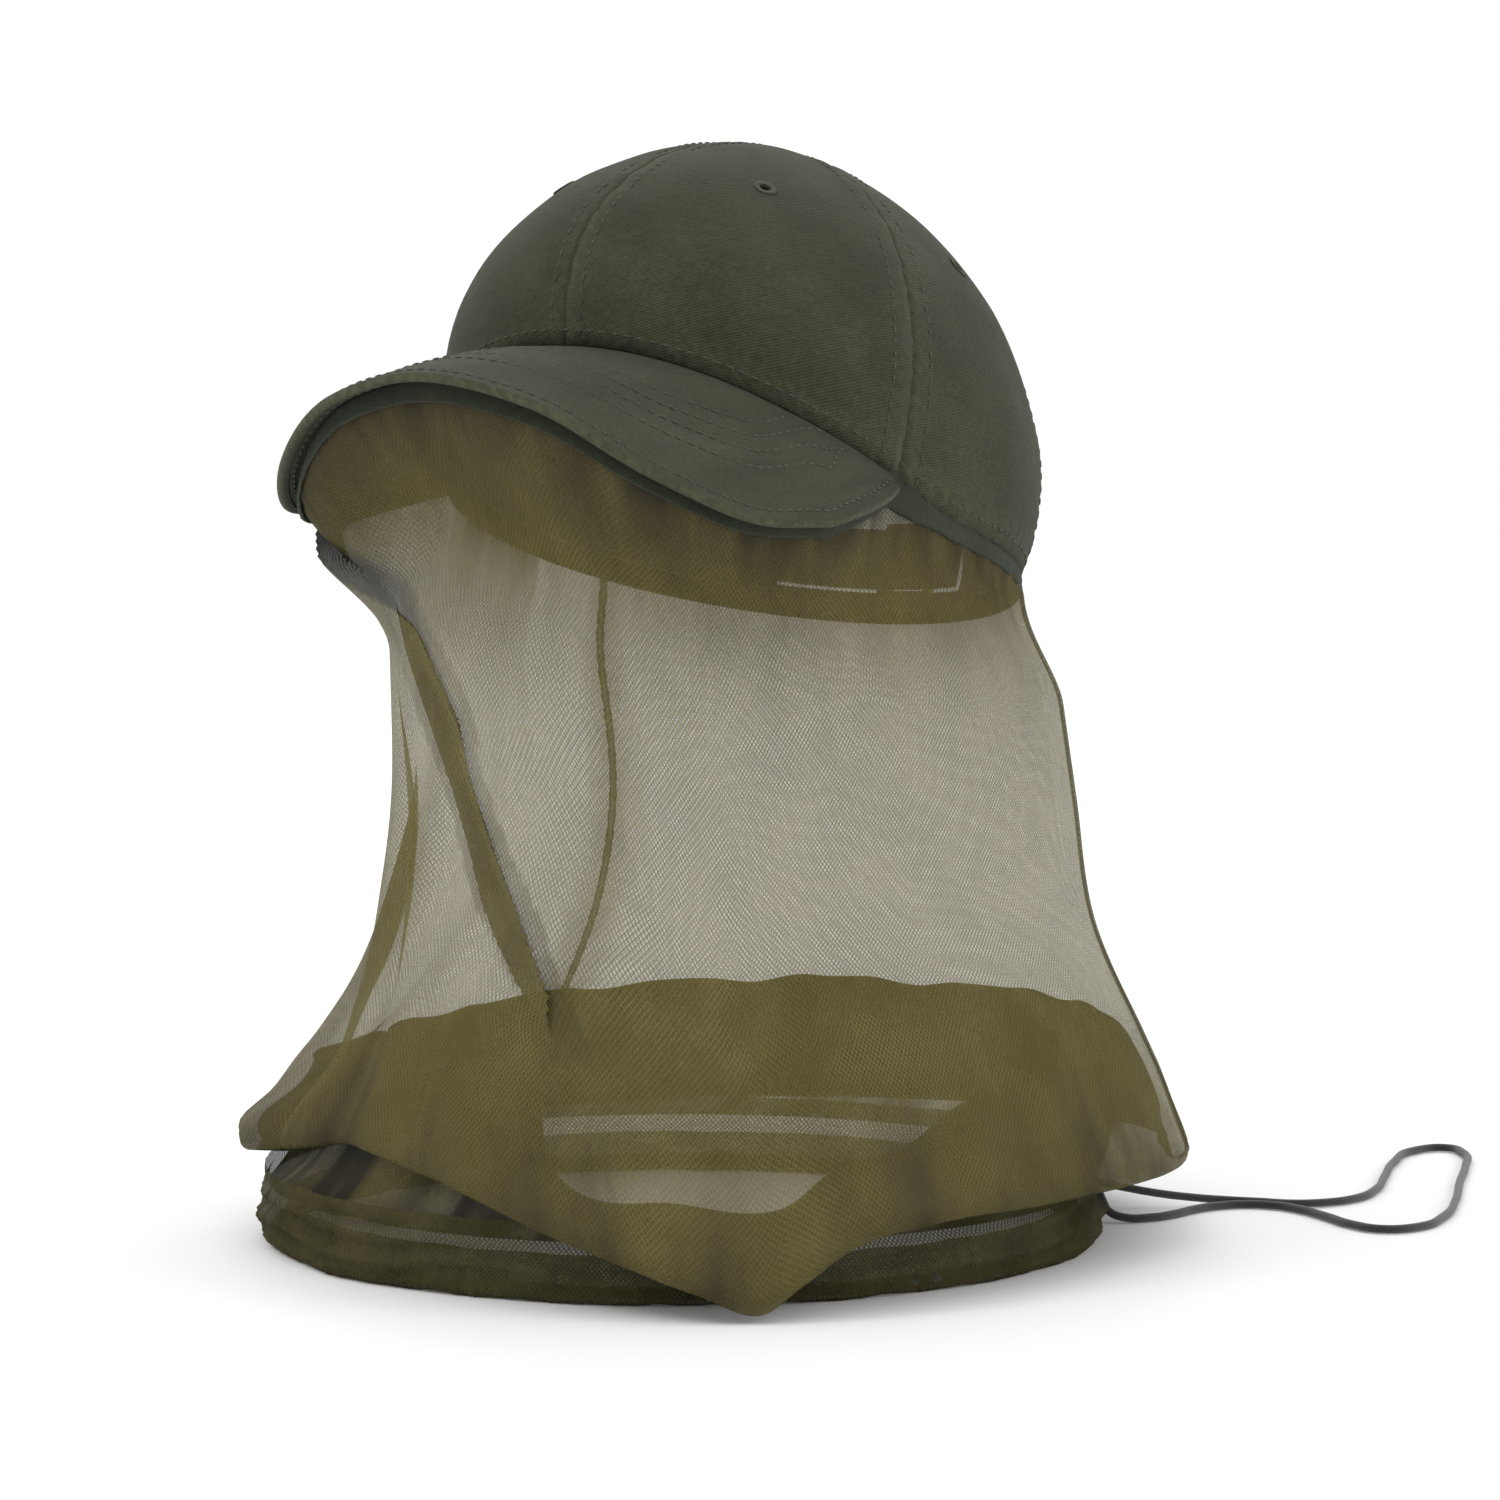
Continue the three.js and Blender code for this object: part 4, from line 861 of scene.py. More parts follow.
def sweatband(across, down):
    angle = lerp(-BAND_END, BAND_END, across)
    lift = lerp(0.6 * MM, SWEATBAND_HEIGHT, down)
    soft = 0.35 * MM * (sin(pi * down) + noise.noise(Vector((angle * 9, down * 2, 0))))
    return on_crown(angle, level_at(angle, rim_height(angle) + lift), LINING_DEPTH + 0.2 * MM + soft * 0.5)


band = cloth_sheet("folded_sweatband", 200, 14, sweatband, cotton, thickness=SWEATBAND - 0.4 * MM)
belongs(band, "sweatband_cotton", "sweatband")
for down in (0.06, 0.9):
    row = []
    for across in steps(0, 1, 200):
        angle = lerp(-BAND_END, BAND_END, across)
        inward = -outward_at(angle, level_at(angle, rim_height(angle) + 10 * MM))
        row.append((sweatband(across, down) + inward * (SWEATBAND - 0.3 * MM), inward))
    sew(tape_rows, row)


def facing(across, down):
    turn = lerp(-pi / 2, pi / 2, across)
    side = lerp(0.04, 1, down)
    angle = pi + (OPENING_HALF_ANGLE + side * radians(6)) * sin(turn)
    height = max(0.6 * MM, (OPENING_HEIGHT + side * FACING_WIDTH) * cos(turn))
    return on_crown(angle, level_at(angle, height), FACING_DEPTH)


facing_tape = cloth_sheet("opening_facing_tape", 60, 8, facing, lining_twill, thickness=LINING)
belongs(facing_tape, "lining_tape", "back_opening_facing")
inward = -outward_at(pi, 0.2)
sew(tape_rows, [(facing(across, 0.75) + inward * (LINING + THREAD_LIFT), inward)
                for across in steps(0.04, 0.96, 60)])
lining_stitching = piece_from(tape_rows, "lining_stitching", olive_thread)
belongs(lining_stitching, "sewn_thread")

# ---- Strap and clasp -----------------------------------------------------------------------------------
# A folded twill strap closes the back opening. It is sewn in at the wearer's right, passes under the brass
# clasp's frame at the left, and the clasp's lever swings on its pin to grip it.
STRAP_RADIUS = HALF_WIDTH - FACING_DEPTH - LINING - CLEAR
STRAP_WIDTH = 19 * MM
STRAP = 1.2 * MM
STRAP_LIFT = 4 * MM
STRAP_START = -radians(31)
CLASP_ANGLE = radians(7)
CLASP_LENGTH = 20 * MM
STRAP_FINISH = CLASP_ANGLE + CLASP_LENGTH / 2 / STRAP_RADIUS + radians(10)


def strap_face(across, down):
    """Point on the strap's outer face, which is a little fuller along its middle."""
    turn = lerp(STRAP_START, STRAP_FINISH, across)
    radius = STRAP_RADIUS - 0.25 * MM * (2 * down - 1) ** 4
    return TILT @ Vector((radius * sin(turn), radius * cos(turn), STRAP_LIFT + STRAP_WIDTH * (1 - down)))


strap_twill = twill_finish("strap_twill", OLIVE_DARK, OLIVE_LIGHT)
strap = cloth_sheet("closing_strap", 90, 14, strap_face, strap_twill, thickness=STRAP - 0.2 * MM,
                    marks=lambda across, down: 0.7 * exp(-(min(down, 1 - down) / 0.06) ** 2))
belongs(strap, "strap_twill", "adjuster_strap")
strap_rows = bmesh.new()
for down in (0.12, 0.88):
    row = []
    for across in steps(0.02, 0.98, 60):
        turn = lerp(STRAP_START, STRAP_FINISH, across)
        outward = TILT @ Vector((sin(turn), cos(turn), 0))
        row.append((strap_face(across, down) + outward * THREAD_LIFT, outward))
    sew(strap_rows, row)
strap_stitching = piece_from(strap_rows, "strap_stitching", olive_thread)
belongs(strap_stitching, "sewn_thread")


def softened(name, node, width, material):
    """A copy of a frame solid with its arrises rounded, as a cast or stamped metal piece has."""
    bm = bmesh.new()
    bm.from_mesh(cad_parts[node].data)
    bmesh.ops.remove_doubles(bm, verts=bm.verts, dist=1e-6)
    bmesh.ops.dissolve_limit(bm, angle_limit=radians(1), verts=bm.verts, edges=bm.edges)
    arrises = [e for e in bm.edges if len(e.link_faces) == 2 and e.calc_face_angle() > radians(40)]
    bmesh.ops.bevel(bm, geom=arrises, offset=width, offset_type="OFFSET", segments=3, profile=0.5,
                    affect="EDGES", material=-1, clamp_overlap=True)
    bmesh.ops.recalc_face_normals(bm, faces=bm.faces)
    piece = piece_from(bm, name, material)
    crisp = piece.modifiers.new("flats", "WEIGHTED_NORMAL")
    crisp.keep_sharp = True
    return piece


clasp_frame = softened("brass_clasp_frame", "clasp_frame", 0.45 * MM, antique_brass)
belongs(clasp_frame, "brass", "clasp_frame")
clasp_lever = softened("brass_clasp_lever", "clasp_lever", 0.3 * MM, antique_brass)
belongs(clasp_lever, "brass", "clasp_lever", body="lever")
repaint("clasp_pin", antique_brass)

# ---- Net cloth -----------------------------------------------------------------------------------------
# Fine olive-brown warp-knit netting with six-sided holes, thin enough to see through in one layer and dark
# where it lies in folds, partly from its stacked layers and partly from painted shade.
MESH_PITCH = 1.5 * MM
MESH_RISE = 1.9 * MM


def net_finish(name, thread_width, colour, pale, hazy):
    """Warp-knit net: zigzag threads that meet side by side. Fine fibres cross the holes, so hazy gives how
    much light the holes stop and how much the threads do. Marked places are denser, and their colour is
    darkened toward a painted shadow tone, with streaks of painted crease shade."""
    material, shader = finish(name, 0.8)
    shader.inputs["Specular IOR Level"].default_value = 0.03
    uv = add(material, "UVMap", uv_map="cloth").outputs[0]
    wander = add(material, "TexNoise", {"Vector": uv, "Scale": 60.0, "Detail": 2.0})
    shifted = add(material, "VectorMath", {0: uv, 1: add(material, "VectorMath", {
        0: wander.outputs["Color"], 1: (0.0009, 0.0009, 0.0)}, operation="MULTIPLY")}, operation="ADD")
    split = add(material, "SeparateXYZ", {0: shifted})
    beside = calc(material, "PINGPONG", calc(material, "DIVIDE", split.outputs[0], MESH_PITCH), 0.5)
    along = calc(material, "PINGPONG", calc(material, "DIVIDE", split.outputs[1], MESH_RISE), 0.5)
    zigzag = add(material, "MapRange", {0: along, 1: 0.12, 2: 0.38, 3: 0.09, 4: 0.41})
    off = calc(material, "ABSOLUTE", calc(material, "SUBTRACT", beside, zigzag))
    half = thread_width / MESH_PITCH / 2
    thread = add(material, "MapRange", {0: off, 1: half * 1.4, 2: half * 0.6, 3: hazy[0], 4: hazy[1]})
    # How much painted shade and extra density each point of the net gets, from its marks.
    fold_and_shade = add(material, "Attribute", attribute_name="marks").outputs["Fac"]
    uneven = patches(material, uv, 24 * MM, 0.35, 0.65, 4.0)
    # One noise gives the net its rumples as bumps and, in marked places, streaks of painted crease shade.
    rumple_and_shade_noise = add(material, "TexNoise", {"Vector": add(material, "VectorMath", {0: uv, 1: (60.0, 22.0, 0.0)},
                  operation="MULTIPLY"), "Scale": 1.0, "Detail": 3.0, "Distortion": 0.8}).outputs[0]
    shade = add(material, "MapRange", {0: rumple_and_shade_noise, 1: 0.36, 2: 0.66, 3: 0.78, 4: 1.22})
    shaded = calc(material, "MINIMUM", calc(material, "MULTIPLY", fold_and_shade, shade), 1.0)
    cover = add(material, "MapRange", {0: shaded, 3: thread, 4: 0.97})
    # Painted shadow tone: the net's colour darkened, toward which marked places are blended.
    shadowed = (colour[0] * 0.20, colour[1] * 0.20, colour[2] * 0.42, 1)
    tone = blend_colours(material, uneven, colour, pale)
    feed(material, shader.inputs["Base Color"], blend_colours(material, shaded, tone, shadowed))
    feed(material, shader.inputs["Alpha"], cover)
    height = add(material, "MapRange", {0: rumple_and_shade_noise, 3: 0.0, 4: 14.0})
    bump(material, shader, calc(material, "ADD", thread, height), 0.0002)
    return material


NET_COLOUR = (0.150, 0.127, 0.044, 1)
NET_PALE = (0.188, 0.160, 0.058, 1)
# Hem casing net: the thread colour darkened as painted shade of its stacked layers, with denser threads.
DOUBLED_SHADED_COLOUR = (0.040, 0.036, 0.014, 1)
DOUBLED_SHADED_PALE = (0.066, 0.058, 0.024, 1)
net_cloth = net_finish("veil_net", 0.45 * MM, NET_COLOUR, NET_PALE, (0.40, 0.72))
doubled_shaded_net = net_finish("doubled_shaded_net", 0.60 * MM, DOUBLED_SHADED_COLOUR, DOUBLED_SHADED_PALE, (0.64, 0.92))

# ---- Joining tape --------------------------------------------------------------------------------------
# A dark twill tape sewn under the visor's edge and inside the rim. The net's gathered top is caught in it.
TAPE_DROP = 5.5 * MM
TAPE_BODY = 1 * MM
TAPE_INSET = 6.5 * MM


def tape_line(angle):
    """Line that the tape follows, in the cap's frame: below the visor in front, below the rim elsewhere."""
    turn = atan2(sin(angle), cos(angle))
    across = turn / SIDE_SEAM
    if abs(across) < 0.97:
        out = max(0.12, 1 - TAPE_INSET / edge_length(across))
        return visor_depth(across, out, VISOR_STACK + 2 * CLEAR + TAPE_BODY / 2)
    p = crown_point(turn, 0) - crown_normal(turn, 0) * TWILL / 2
    past = ease(abs(turn), SIDE_SEAM, SIDE_SEAM + radians(14))
    p.z -= lerp(VISOR_STACK + 3 * CLEAR + TAPE_BODY / 2, CLEAR + 0.1 * MM, past)
    return p


def joining_tape(across, down):
    angle = 2 * pi * across
    spot = tape_line(angle)
    ahead = tape_line(angle + radians(1)) - tape_line(angle - radians(1))
    outward = Vector((ahead.y, -ahead.x, 0)).normalized()
    turn = atan2(sin(angle), cos(angle))
    behind = ease(abs(turn), SIDE_SEAM - radians(5), SIDE_SEAM + radians(1))
    tucked = behind * (1 - ease(down, 0.3, 0.6))
    spot += outward * (TAPE_BODY / 2 + 0.12 * MM * sin(angle * 90) - tucked * 1.1 * MM)
    inside_rim = crown_point(turn, 0).z + 3.5 * MM
    spot.z = lerp(lerp(spot.z + 0.4 * MM, inside_rim, behind), spot.z - TAPE_DROP, down)
    return TILT @ spot


joining = cloth_sheet("net_joining_band", 260, 10, joining_tape, lining_twill, closed=True,
                      thickness=TAPE_BODY)
belongs(joining, "lining_tape", "net_joining_tape")

# ---- Hanging net ---------------------------------------------------------------------------------------
# Two panels of net, front and back, hang from the tape and widen to the shoulders. Standing on a table they
# slump: the net falls outside the hem to a soft lower fold, turns up inside to a crest, and drops again.
NET_LEVELS = [
    # level, then reach toward the front, back, wearer's left and wearer's right
    (20, 132, 84, 86, 86), (-25, 129, 92, 90, 92), (-80, 124, 108, 95, 90), (-115, 127, 116, 100, 98),
    (-148, 132, 131, 114, 118), (-172, 138, 145, 124, 140), (-190, 141, 150, 130, 148),
    (-212, 143, 150, 131, 148),
]
FOLD_LEVELS = [  # angle from the front toward the wearer's left, and the height of the lower fold there
    (-180, -189), (-118, -191), (-75, -191), (-55, -184), (-40, -178), (-24, -172), (-10, -176), (4, -184),
    (18, -194), (28, -202), (35, -208), (40, -200), (46, -191), (55, -187), (67, -186), (108, -187),
    (180, -189),
]
CREST_LEVELS = [  # the same for the crest inside
    (-180, -148), (-118, -150), (-57, -156), (-34, -152), (-15, -148), (4, -138), (9, -171), (28, -178),
    (38, -180), (45, -171), (58, -164), (68, -157), (100, -152), (180, -148),
]
PLEAT_CENTRES = [  # height, angle of the long slanting pleat's middle, and its half width
    (20, -57, 4.0), (0, -46, 5.0), (-16, -32, 6.5), (-44, -18, 6.5), (-66, -12, 4.3), (-84, -7, 4.0),
    (-100, -2.2, 4.4), (-118, 4, 3.4), (-134, 9, 2.2), (-160, 14, 1.0), (-220, 16, 0.6),
]
CORNER_ANGLE = radians(31)
CORNER_SPREAD = radians(26)
CORNER_REACH = 12 * MM
NET_HELD = 0.21
NET_SEAM = radians(118)
LAYER_GAP = 5 * MM


def along_table(table, key, column=1):
    """Value of a table's column at a key, on a smooth curve through the rows."""
    way = 1 if table[-1][0] > table[0][0] else -1
    key = min(max(key * way, table[0][0] * way), table[-1][0] * way) * way
    last = len(table) - 1
    row = next(n for n in range(last) if key * way <= table[n + 1][0] * way)
    a, b, before, after = table[row], table[row + 1], table[max(row - 1, 0)], table[min(row + 2, last)]
    span = b[0] - a[0]
    leaving = (b[column] - before[column]) / (b[0] - before[0]) * span
    arriving = (after[column] - a[column]) / (after[0] - a[0]) * span
    t = (key - a[0]) / span
    bend = leaving * (1 - t) ** 2 * t - arriving * (1 - t) * t * t
    return lerp(a[column], b[column], t * t * (3 - 2 * t)) + bend


def wrapped(angle):
    return (angle * 180 / pi + 180) % 360 - 180


HEM_TOP = -190 * MM
HEM_BOTTOM = -210 * MM
HEM_HALF_LENGTH = 121 * MM
HEM_HALF_WIDTH = 120 * MM
HEM_TURN = radians(31.5)
HEM_CENTRE = (-16 * MM, -10 * MM)
HEM_THICKNESS = 7 * MM


def hem_point(angle, z, outward=0.0):
    """Point on the hem's oval ring at a level, or that far outside it."""
    turn = angle - pi / 2 - HEM_TURN
    long_way = (HEM_HALF_LENGTH + outward) * cos(turn)
    short_way = (HEM_HALF_WIDTH + outward) * sin(turn)
    return Vector((HEM_CENTRE[0] + long_way * cos(HEM_TURN) - short_way * sin(HEM_TURN),
                   HEM_CENTRE[1] + long_way * sin(HEM_TURN) + short_way * cos(HEM_TURN), z))


NET_TUCK = 2.5 * MM
TOP_RING = [TILT @ (tape_line(radians(d)) - Vector((0, 0, TAPE_DROP - NET_TUCK))) for d in range(361)]


def net_top(angle):
    """Where the net leaves the tape, at any angle round the head."""
    degrees = (angle * 180 / pi) % 360
    return TOP_RING[int(degrees)].lerp(TOP_RING[int(degrees) + 1], degrees % 1)


def net_reach(column, z):
    return along_table(NET_LEVELS, z / MM, column) * MM


def outer_net(angle, z, down):
    """Point on the hanging net's outer layer."""
    top = net_top(angle)
    s, c = sin(angle), cos(angle)
    off = atan2(sin(angle - CORNER_ANGLE), cos(angle - CORNER_ANGLE)) / CORNER_SPREAD
    corner = CORNER_REACH * exp(-off * off) * ease(down, 0.6, 1)
    held = 1 - ease(down, 0, NET_HELD)
    x = s * (net_reach(3 if s > 0 else 4, z) + corner)
    y = -c * (net_reach(1 if c > 0 else 2, z) + corner)
    return Vector((lerp(x, top.x, held), lerp(y, top.y, held), z))


def net_swell(angle, z, down):
    """How far the net stands in or out of its mean shape: gathers at the top, and long slow folds below."""
    flow = Vector((cos(angle) * 2.2, sin(angle) * 2.2, z * 7))
    swell = 2.6 * MM * noise.noise(flow) * ease(down, 0.05, 0.4)
    gathers = 0.45 * MM * sin(angle * 46 + 3 * noise.noise(flow * 3))
    gathers *= exp(-down / 0.10) * ease(down, 0, 0.02)
    side = exp(-((wrapped(angle) + 62) / 34) ** 2)
    folds = 5.0 * MM * side * sin(angle * 17 + z * 34 + 2.6 * noise.noise(flow * 1.7)) * ease(down, 0.15, 0.6)
    roll = exp(-((wrapped(angle) + 62) / 17) ** 2)
    lump = (6 * exp(-((z / MM + 177) / 7) ** 2) - 3 * exp(-((z / MM + 191) / 4) ** 2)) * MM * roll
    low = 0.35 + 0.65 * side
    crumple = 4.5 * MM * low * noise.noise(Vector((angle * 6, z * 45, 3))) * ease(down, 0.65, 0.9)
    return swell + gathers + folds + crumple + lump


PLEAT_EASE = 6  # half widths over which the net closes up on each side of the pleat


def pleated(angle, z):
    """A column's angle where the long pleat doubles the net back over itself, and its layer there."""
    centre = radians(along_table(PLEAT_CENTRES, z / MM, 1))
    half = radians(along_table(PLEAT_CENTRES, z / MM, 2))
    there = ease(half, radians(1.6), radians(3.2))
    x = atan2(sin(angle - centre), cos(angle - centre)) / half
    if abs(x) >= PLEAT_EASE or there == 0:
        return angle, 0.0
    pace = 1 + 2 / PLEAT_EASE
    edge = 1 / pace
    if x < -edge:
        bent, layer = half * (pace * x + 2), ease(x, -2.6, -edge)
    elif x < edge:
        bent, layer = -half * pace * x, -x / edge
    else:
        bent, layer = half * (pace * x - 2), -1 + ease(x, edge, 2.6)
    return lerp(angle, centre + bent, there), layer * there


ROUNDING = 3.2 * MM
OUTER_SHARE = 0.66
TURN_SHARE = 0.72
CREST_SHARE = 0.85
OVER_SHARE = 0.89


def net_point(angle, share):
    """Point on the net: the share runs down the outer layer, round the lower fold, up the inner layer, over
    the crest and down to the hem."""
    degrees = wrapped(angle)
    fold = along_table(FOLD_LEVELS, degrees) * MM
    crest = along_table(CREST_LEVELS, degrees) * MM
    crest += 4 * MM * noise.noise(Vector((sin(angle), cos(angle), 0)) * 5)
    top_z = net_top(angle).z

    def at(z, inset):
        down = clamp((top_z - z) / (top_z - fold))
        bent, layer = pleated(angle, z)
        p = outer_net(bent, z, down)
        away = Vector((p.x, p.y, 0)).normalized()
        tuck = layer * 1.1 * MM * ease(down, 0, 0.12)
        return p + away * (net_swell(bent, z, down) + tuck - inset)

    if share <= OUTER_SHARE:
        return at(lerp(top_z, fold + ROUNDING, share / OUTER_SHARE), 0)
    if share <= TURN_SHARE:
        turn = (share - OUTER_SHARE) / (TURN_SHARE - OUTER_SHARE) * pi
        p = at(fold + ROUNDING, ROUNDING * (1 - cos(turn)))
        p.z -= ROUNDING * sin(turn)
        return p
    if share <= CREST_SHARE:
        rise = (share - TURN_SHARE) / (CREST_SHARE - TURN_SHARE)
        inset = lerp(2 * ROUNDING, LAYER_GAP, sqrt(rise))
        inset += 3.0 * MM * noise.noise(Vector((angle * 8, rise * 2, 7)))
        return at(lerp(fold + ROUNDING, crest - ROUNDING / 2, rise), inset)
    inset = LAYER_GAP + 2.2 * MM
    if share <= OVER_SHARE:
        turn = (share - CREST_SHARE) / (OVER_SHARE - CREST_SHARE) * pi
        p = at(crest - ROUNDING / 2, lerp(LAYER_GAP, inset, (1 - cos(turn)) / 2))
        p.z += ROUNDING / 2 * sin(turn)
        return p
    fall = (share - OVER_SHARE) / (1 - OVER_SHARE)
    start = at(crest - ROUNDING / 2, inset)
    end = hem_point(angle, HEM_TOP - 2.5 * MM, HEM_THICKNESS / 2 - 1.2 * MM)
    p = start.lerp(end, fall ** 2)
    p.z = lerp(start.z, end.z, fall)
    return p


def net_fold_shade(angle, share):
    """How much the net is darkened with painted shade and made denser: nothing where it hangs plain, more in
    the pleat, the side's folds and beside the side seams, painted shade of the visor and rim across its top,
    and most in the layers inside the lower fold."""
    degrees = wrapped(angle)
    down = share / OUTER_SHARE
    height = lerp(net_top(angle).z, along_table(FOLD_LEVELS, degrees) * MM, down)
    bent, layer = pleated(angle, height)
    # The pleat's doubled net: denser, with painted shade.
    pleat = 0.42 * (1 - ease(abs(layer), 0.75, 1.0)) if abs(layer) > 0 and down < 1 else 0.0
    # Painted shade in the side's upright folds, and lower down on that side.
    side = exp(-((degrees + 66) / 34) ** 2)
    flow = Vector((cos(bent) * 4, sin(bent) * 4, height * 12))
    streak = sin(bent * 17 + height * 34 + 2.6 * noise.noise(flow))
    side_fold_shade = 0.30 * clamp(0.42 + 0.75 * streak) ** 1.5 * ease(down, 0.05, 0.3)
    side_fold_shade = (side_fold_shade + 0.22 * ease(down, 0.35, 0.75)) * side
    place = Vector((sin(angle) * 7, cos(angle) * 7, height * 14 + share * 3))
    rumple = noise.noise(place) + 0.5 * noise.noise(place * 2.3)
    # Painted shade in the layers inside the lower fold and low on the outer layer, which are denser too.
    inside = (0.88 + 0.4 * rumple) * ease(share, OUTER_SHARE - 0.01, TURN_SHARE)
    low = (0.50 + 0.4 * rumple) * ease(share, OUTER_SHARE - 0.2, OUTER_SHARE)
    # Painted shade of the visor and rim across the net's top, darkest in front under the visor.
    gathers = 0.95 * exp(-down / 0.15) * (1.0 if abs(degrees) < 100 else 0.45)
    # Denser and darker beside the side seams.
    beside_seam = 0.5 * exp(-((abs(degrees) - NET_SEAM * 180 / pi) / 5) ** 2)
    # Painted crease shade along the lower fold and along the crest.
    turn_crease_shade = 0.12 * exp(-((share - OUTER_SHARE) / 0.012) ** 2)
    turn_crease_shade += 0.15 * exp(-((share - CREST_SHARE) / 0.01) ** 2)
    return 0.92 * clamp(max(inside, low, side_fold_shade, pleat, gathers, beside_seam) + turn_crease_shade)


def net_panel(start, end):
    return lambda across, down: net_point(lerp(start, end, across), down)


def panel_fold_shade(start, end):
    return lambda across, down: net_fold_shade(lerp(start, end, across), down)


SEAM_HALF = 0.5 * MM / HALF_WIDTH
NET_LENGTH = 0.30
FRONT_CUT = (0.54, NET_LENGTH)
BACK_CUT = (0.27, 0.26)
FRONT_SPAN = (-NET_SEAM + SEAM_HALF, NET_SEAM - SEAM_HALF)
BACK_SPAN = (NET_SEAM + SEAM_HALF, 2 * pi - NET_SEAM - SEAM_HALF)
front_net = cloth_sheet("front_net_cloth", 330, 130, net_panel(*FRONT_SPAN), net_cloth, cut=FRONT_CUT,
                        marks=panel_fold_shade(*FRONT_SPAN))
belongs(front_net, "net", "net_front")
back_net = cloth_sheet("back_net_cloth", 110, 120, net_panel(*BACK_SPAN), net_cloth, cut=BACK_CUT,
                       marks=panel_fold_shade(NET_SEAM, 2 * pi - NET_SEAM))
belongs(back_net, "net", "net_back")

# ---- Net side seams ------------------------------------------------------------------------------------
# The two net panels are joined in a rolled seam down each side: both edges tucked in together and sewn, so
# that four layers make a narrow dense cord-like line, its thread colour darkened as painted shade.
SEAM_RADIUS = 1.3 * MM
# Rolled seam net: the thread colour darkened as painted shade of its four layers, with denser threads.
ROLLED_SHADED_COLOUR = (0.070, 0.061, 0.027, 1)
ROLLED_SHADED_PALE = (0.095, 0.083, 0.038, 1)

rolled_shaded_net = net_finish("rolled_shaded_net", 0.60 * MM, ROLLED_SHADED_COLOUR, ROLLED_SHADED_PALE, (0.5, 0.86))
for side, angle in (("left", NET_SEAM), ("right", 2 * pi - NET_SEAM)):
    def rolled(across, down):
        turn = 2 * pi * across
        spot = net_point(angle, down)
        beside = net_point(angle + radians(1), down) - net_point(angle - radians(1), down)
        beside.z = 0
        beside.normalize()
        out = Vector((beside.y, -beside.x, 0))
        pinch = 1 + 0.14 * sin(down * 260)
        return spot + beside * SEAM_RADIUS * cos(turn) * pinch + out * 0.75 * MM * sin(turn)

    seam_roll = cloth_sheet("rolled_net_seam_" + side, 10, 200, rolled, rolled_shaded_net, cut=(0.011, NET_LENGTH),
                            closed=True)
    belongs(seam_roll, "net_dense", "net_seam_" + side)

# ---- Hem -----------------------------------------------------------------------------------------------
# The net's lower edge is turned up inside to make a casing, gathered on a round elastic that runs inside it
# and shows through as a dark line. The veil stands on it.
HEM_LINING = 13 * MM
ELASTIC_RADIUS = 1.9 * MM
ELASTIC_RISE = 3.3 * MM
ELASTIC_RIB = 0.9 * MM
HEM_GATHERS = 84
HEM_CUT = (0.80, 0.045)


def hem_wall(across, down):
    """Casing: down its outer face, round the bottom and up inside."""
    angle = 2 * pi * across
    half = HEM_THICKNESS / 2
    flow = Vector((cos(angle) * 7, sin(angle) * 7, 0))
    ruffle = sin(angle * HEM_GATHERS + 6 * noise.noise(flow)) * (0.6 + 0.4 * noise.noise(flow * 2))
    if down < 0.55:
        out, z = half, lerp(HEM_TOP + 3 * MM, HEM_BOTTOM + half, down / 0.55)
    elif down < 0.75:
        turn = (down - 0.55) / 0.2 * pi
        out, z = half * cos(turn), HEM_BOTTOM + half - half * sin(turn)
    else:
        out, z = -half, lerp(HEM_BOTTOM + half, HEM_BOTTOM + HEM_LINING, (down - 0.75) / 0.25)
    spread = 0.35 + 0.65 * exp(-((z - HEM_BOTTOM - 5 * MM) / (6 * MM)) ** 2)
    if z < HEM_BOTTOM + half:
        spread *= 0.6
    slump = 3.4 * MM * noise.noise(flow * 0.45 + Vector((0, 0, z * 70)))
    rolls = 1.3 * MM * sin(z * 900 + 5 * noise.noise(flow * 0.4))
    slump += rolls * ease(z, HEM_BOTTOM + 2 * MM, HEM_BOTTOM + 6 * MM)
    slump *= (1 if out > 0 else 0.3) * (1 - ease(z, HEM_TOP - 4 * MM, HEM_TOP + 2 * MM))
    p = hem_point(angle, z, out + 0.9 * MM * ruffle * spread + slump)
    p.z = max(p.z + 0.5 * MM * noise.noise(flow * 1.3), HEM_BOTTOM)
    return p


hem_cloth = cloth_sheet("hem_casing_cloth", 520, 24, hem_wall, doubled_shaded_net, cut=HEM_CUT, closed=True)
belongs(hem_cloth, "net_dense", "hem_casing")

elastic_level = HEM_BOTTOM + ELASTIC_RISE
elastic_finish, elastic_shader = finish("cased_elastic", 0.7, sheen=0.2)
elastic_coords = add(elastic_finish, "UVMap", uv_map="cloth").outputs[0]
elastic_ribs = add(elastic_finish, "TexWave", {"Vector": elastic_coords, "Scale": WAVE_BAND / ELASTIC_RIB},
                   bands_direction="X").outputs["Fac"]
feed(elastic_finish, elastic_shader.inputs["Base Color"],
     blend_colours(elastic_finish, elastic_ribs, (0.008, 0.010, 0.007, 1), (0.024, 0.028, 0.020, 1)))
bump(elastic_finish, elastic_shader, elastic_ribs, 0.0002)


def elastic_round(across, down):
    angle, turn = 2 * pi * across, 2 * pi * down
    return hem_point(angle, elastic_level + ELASTIC_RADIUS * sin(turn), ELASTIC_RADIUS * cos(turn))


elastic = cloth_sheet("hem_round_elastic", 200, 12, elastic_round, elastic_finish, closed=True)
belongs(elastic, "elastic", "hem_elastic")

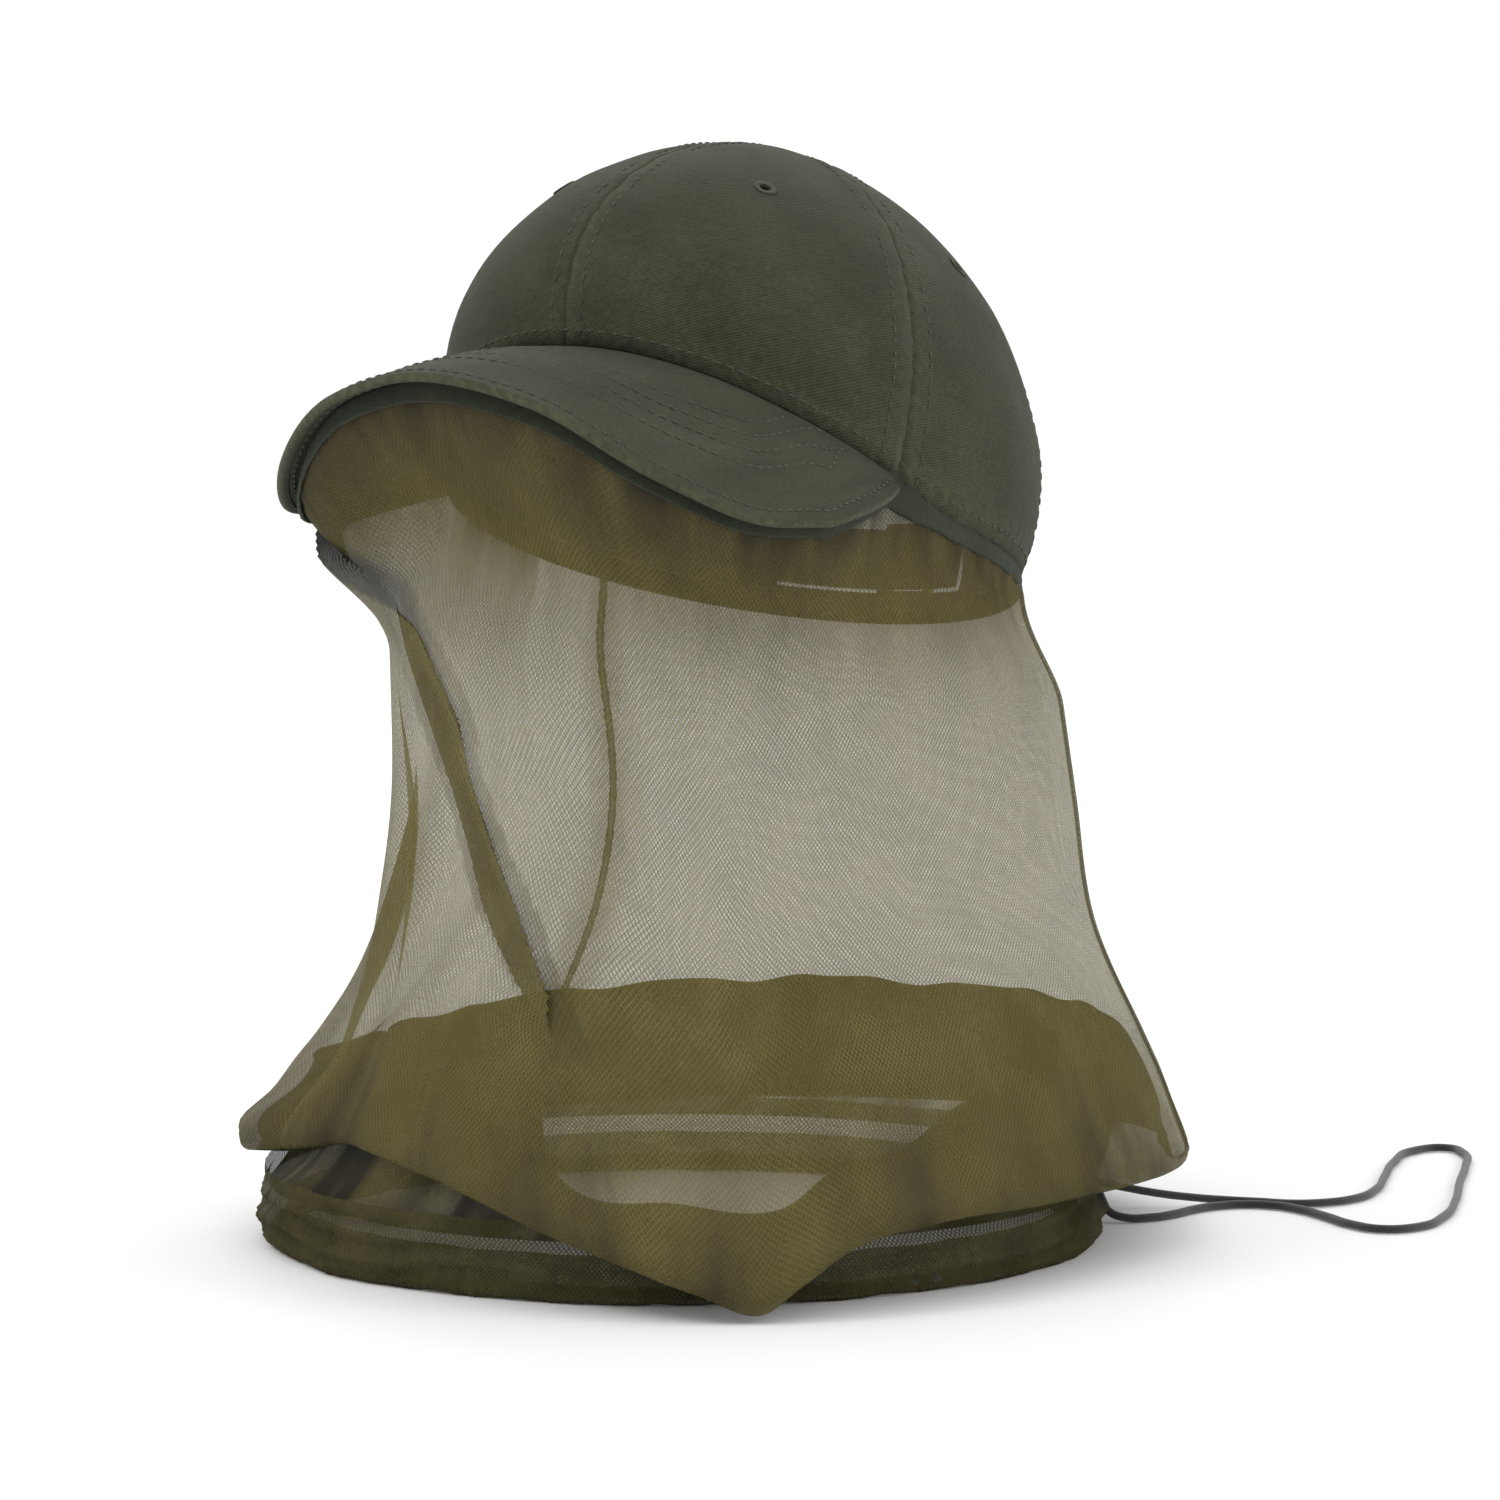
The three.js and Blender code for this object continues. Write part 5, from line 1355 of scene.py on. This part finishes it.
# ---- Draw loop patch -----------------------------------------------------------------------------------
# A small double patch of net, stitched round its edge, strengthens the hem where the draw loop comes out.
PATCH_HEIGHT = 10 * MM
PATCH_HALF_ANGLE = radians(7)
PATCH_ANGLE = radians(135)
PATCH_LEVEL = -200 * MM


def patch_face(across, down, lift=0.0):
    angle = PATCH_ANGLE + lerp(-PATCH_HALF_ANGLE, PATCH_HALF_ANGLE, across)
    return hem_point(angle, PATCH_LEVEL + PATCH_HEIGHT * (0.5 - down), HEM_THICKNESS / 2 + 0.9 * MM + lift)


patch = cloth_sheet("draw_loop_patch", 30, 12, patch_face, under_twill, thickness=0.5 * MM)
belongs(patch, "net_dense", "cord_exit_patch")
patch_rows = bmesh.new()
patch_out = Vector((sin(PATCH_ANGLE), -cos(PATCH_ANGLE), 0))
for down in (0.12, 0.88):
    sew(patch_rows, [(patch_face(across, down, THREAD_LIFT), patch_out) for across in steps(0.05, 0.95, 20)])
for across in (0.06, 0.94):
    sew(patch_rows, [(patch_face(across, down, THREAD_LIFT), patch_out) for down in steps(0.12, 0.88, 10)])
patch_stitching = piece_from(patch_rows, "draw_loop_patch_stitching", olive_thread)
belongs(patch_stitching, "sewn_thread")

# ---- Opening net ---------------------------------------------------------------------------------------
# A piece of the same net is sewn behind the back opening, inside the strap, so that nothing flies in there.
OPENING_NET_DEPTH = HALF_WIDTH - STRAP_RADIUS + STRAP + 3 * MM


def opening_net(across, down):
    angle = pi + lerp(-1, 1, across) * (OPENING_HALF_ANGLE + radians(10))
    height = lerp(OPENING_HEIGHT + FACING_WIDTH, -6 * MM, down)
    sag = 0.6 * MM * noise.noise(Vector((angle * 12, height * 70, 0)))
    edge = on_crown(angle, level_at(angle, max(height, 0)), OPENING_NET_DEPTH + sag)
    return edge + TILT @ Vector((0, 0, min(height, 0)))


OPENING_CUT = (0.084, 0.058)
vent_net = cloth_sheet("opening_net_cloth", 40, 30, opening_net, net_cloth, cut=OPENING_CUT)
belongs(vent_net, "net", "opening_net")
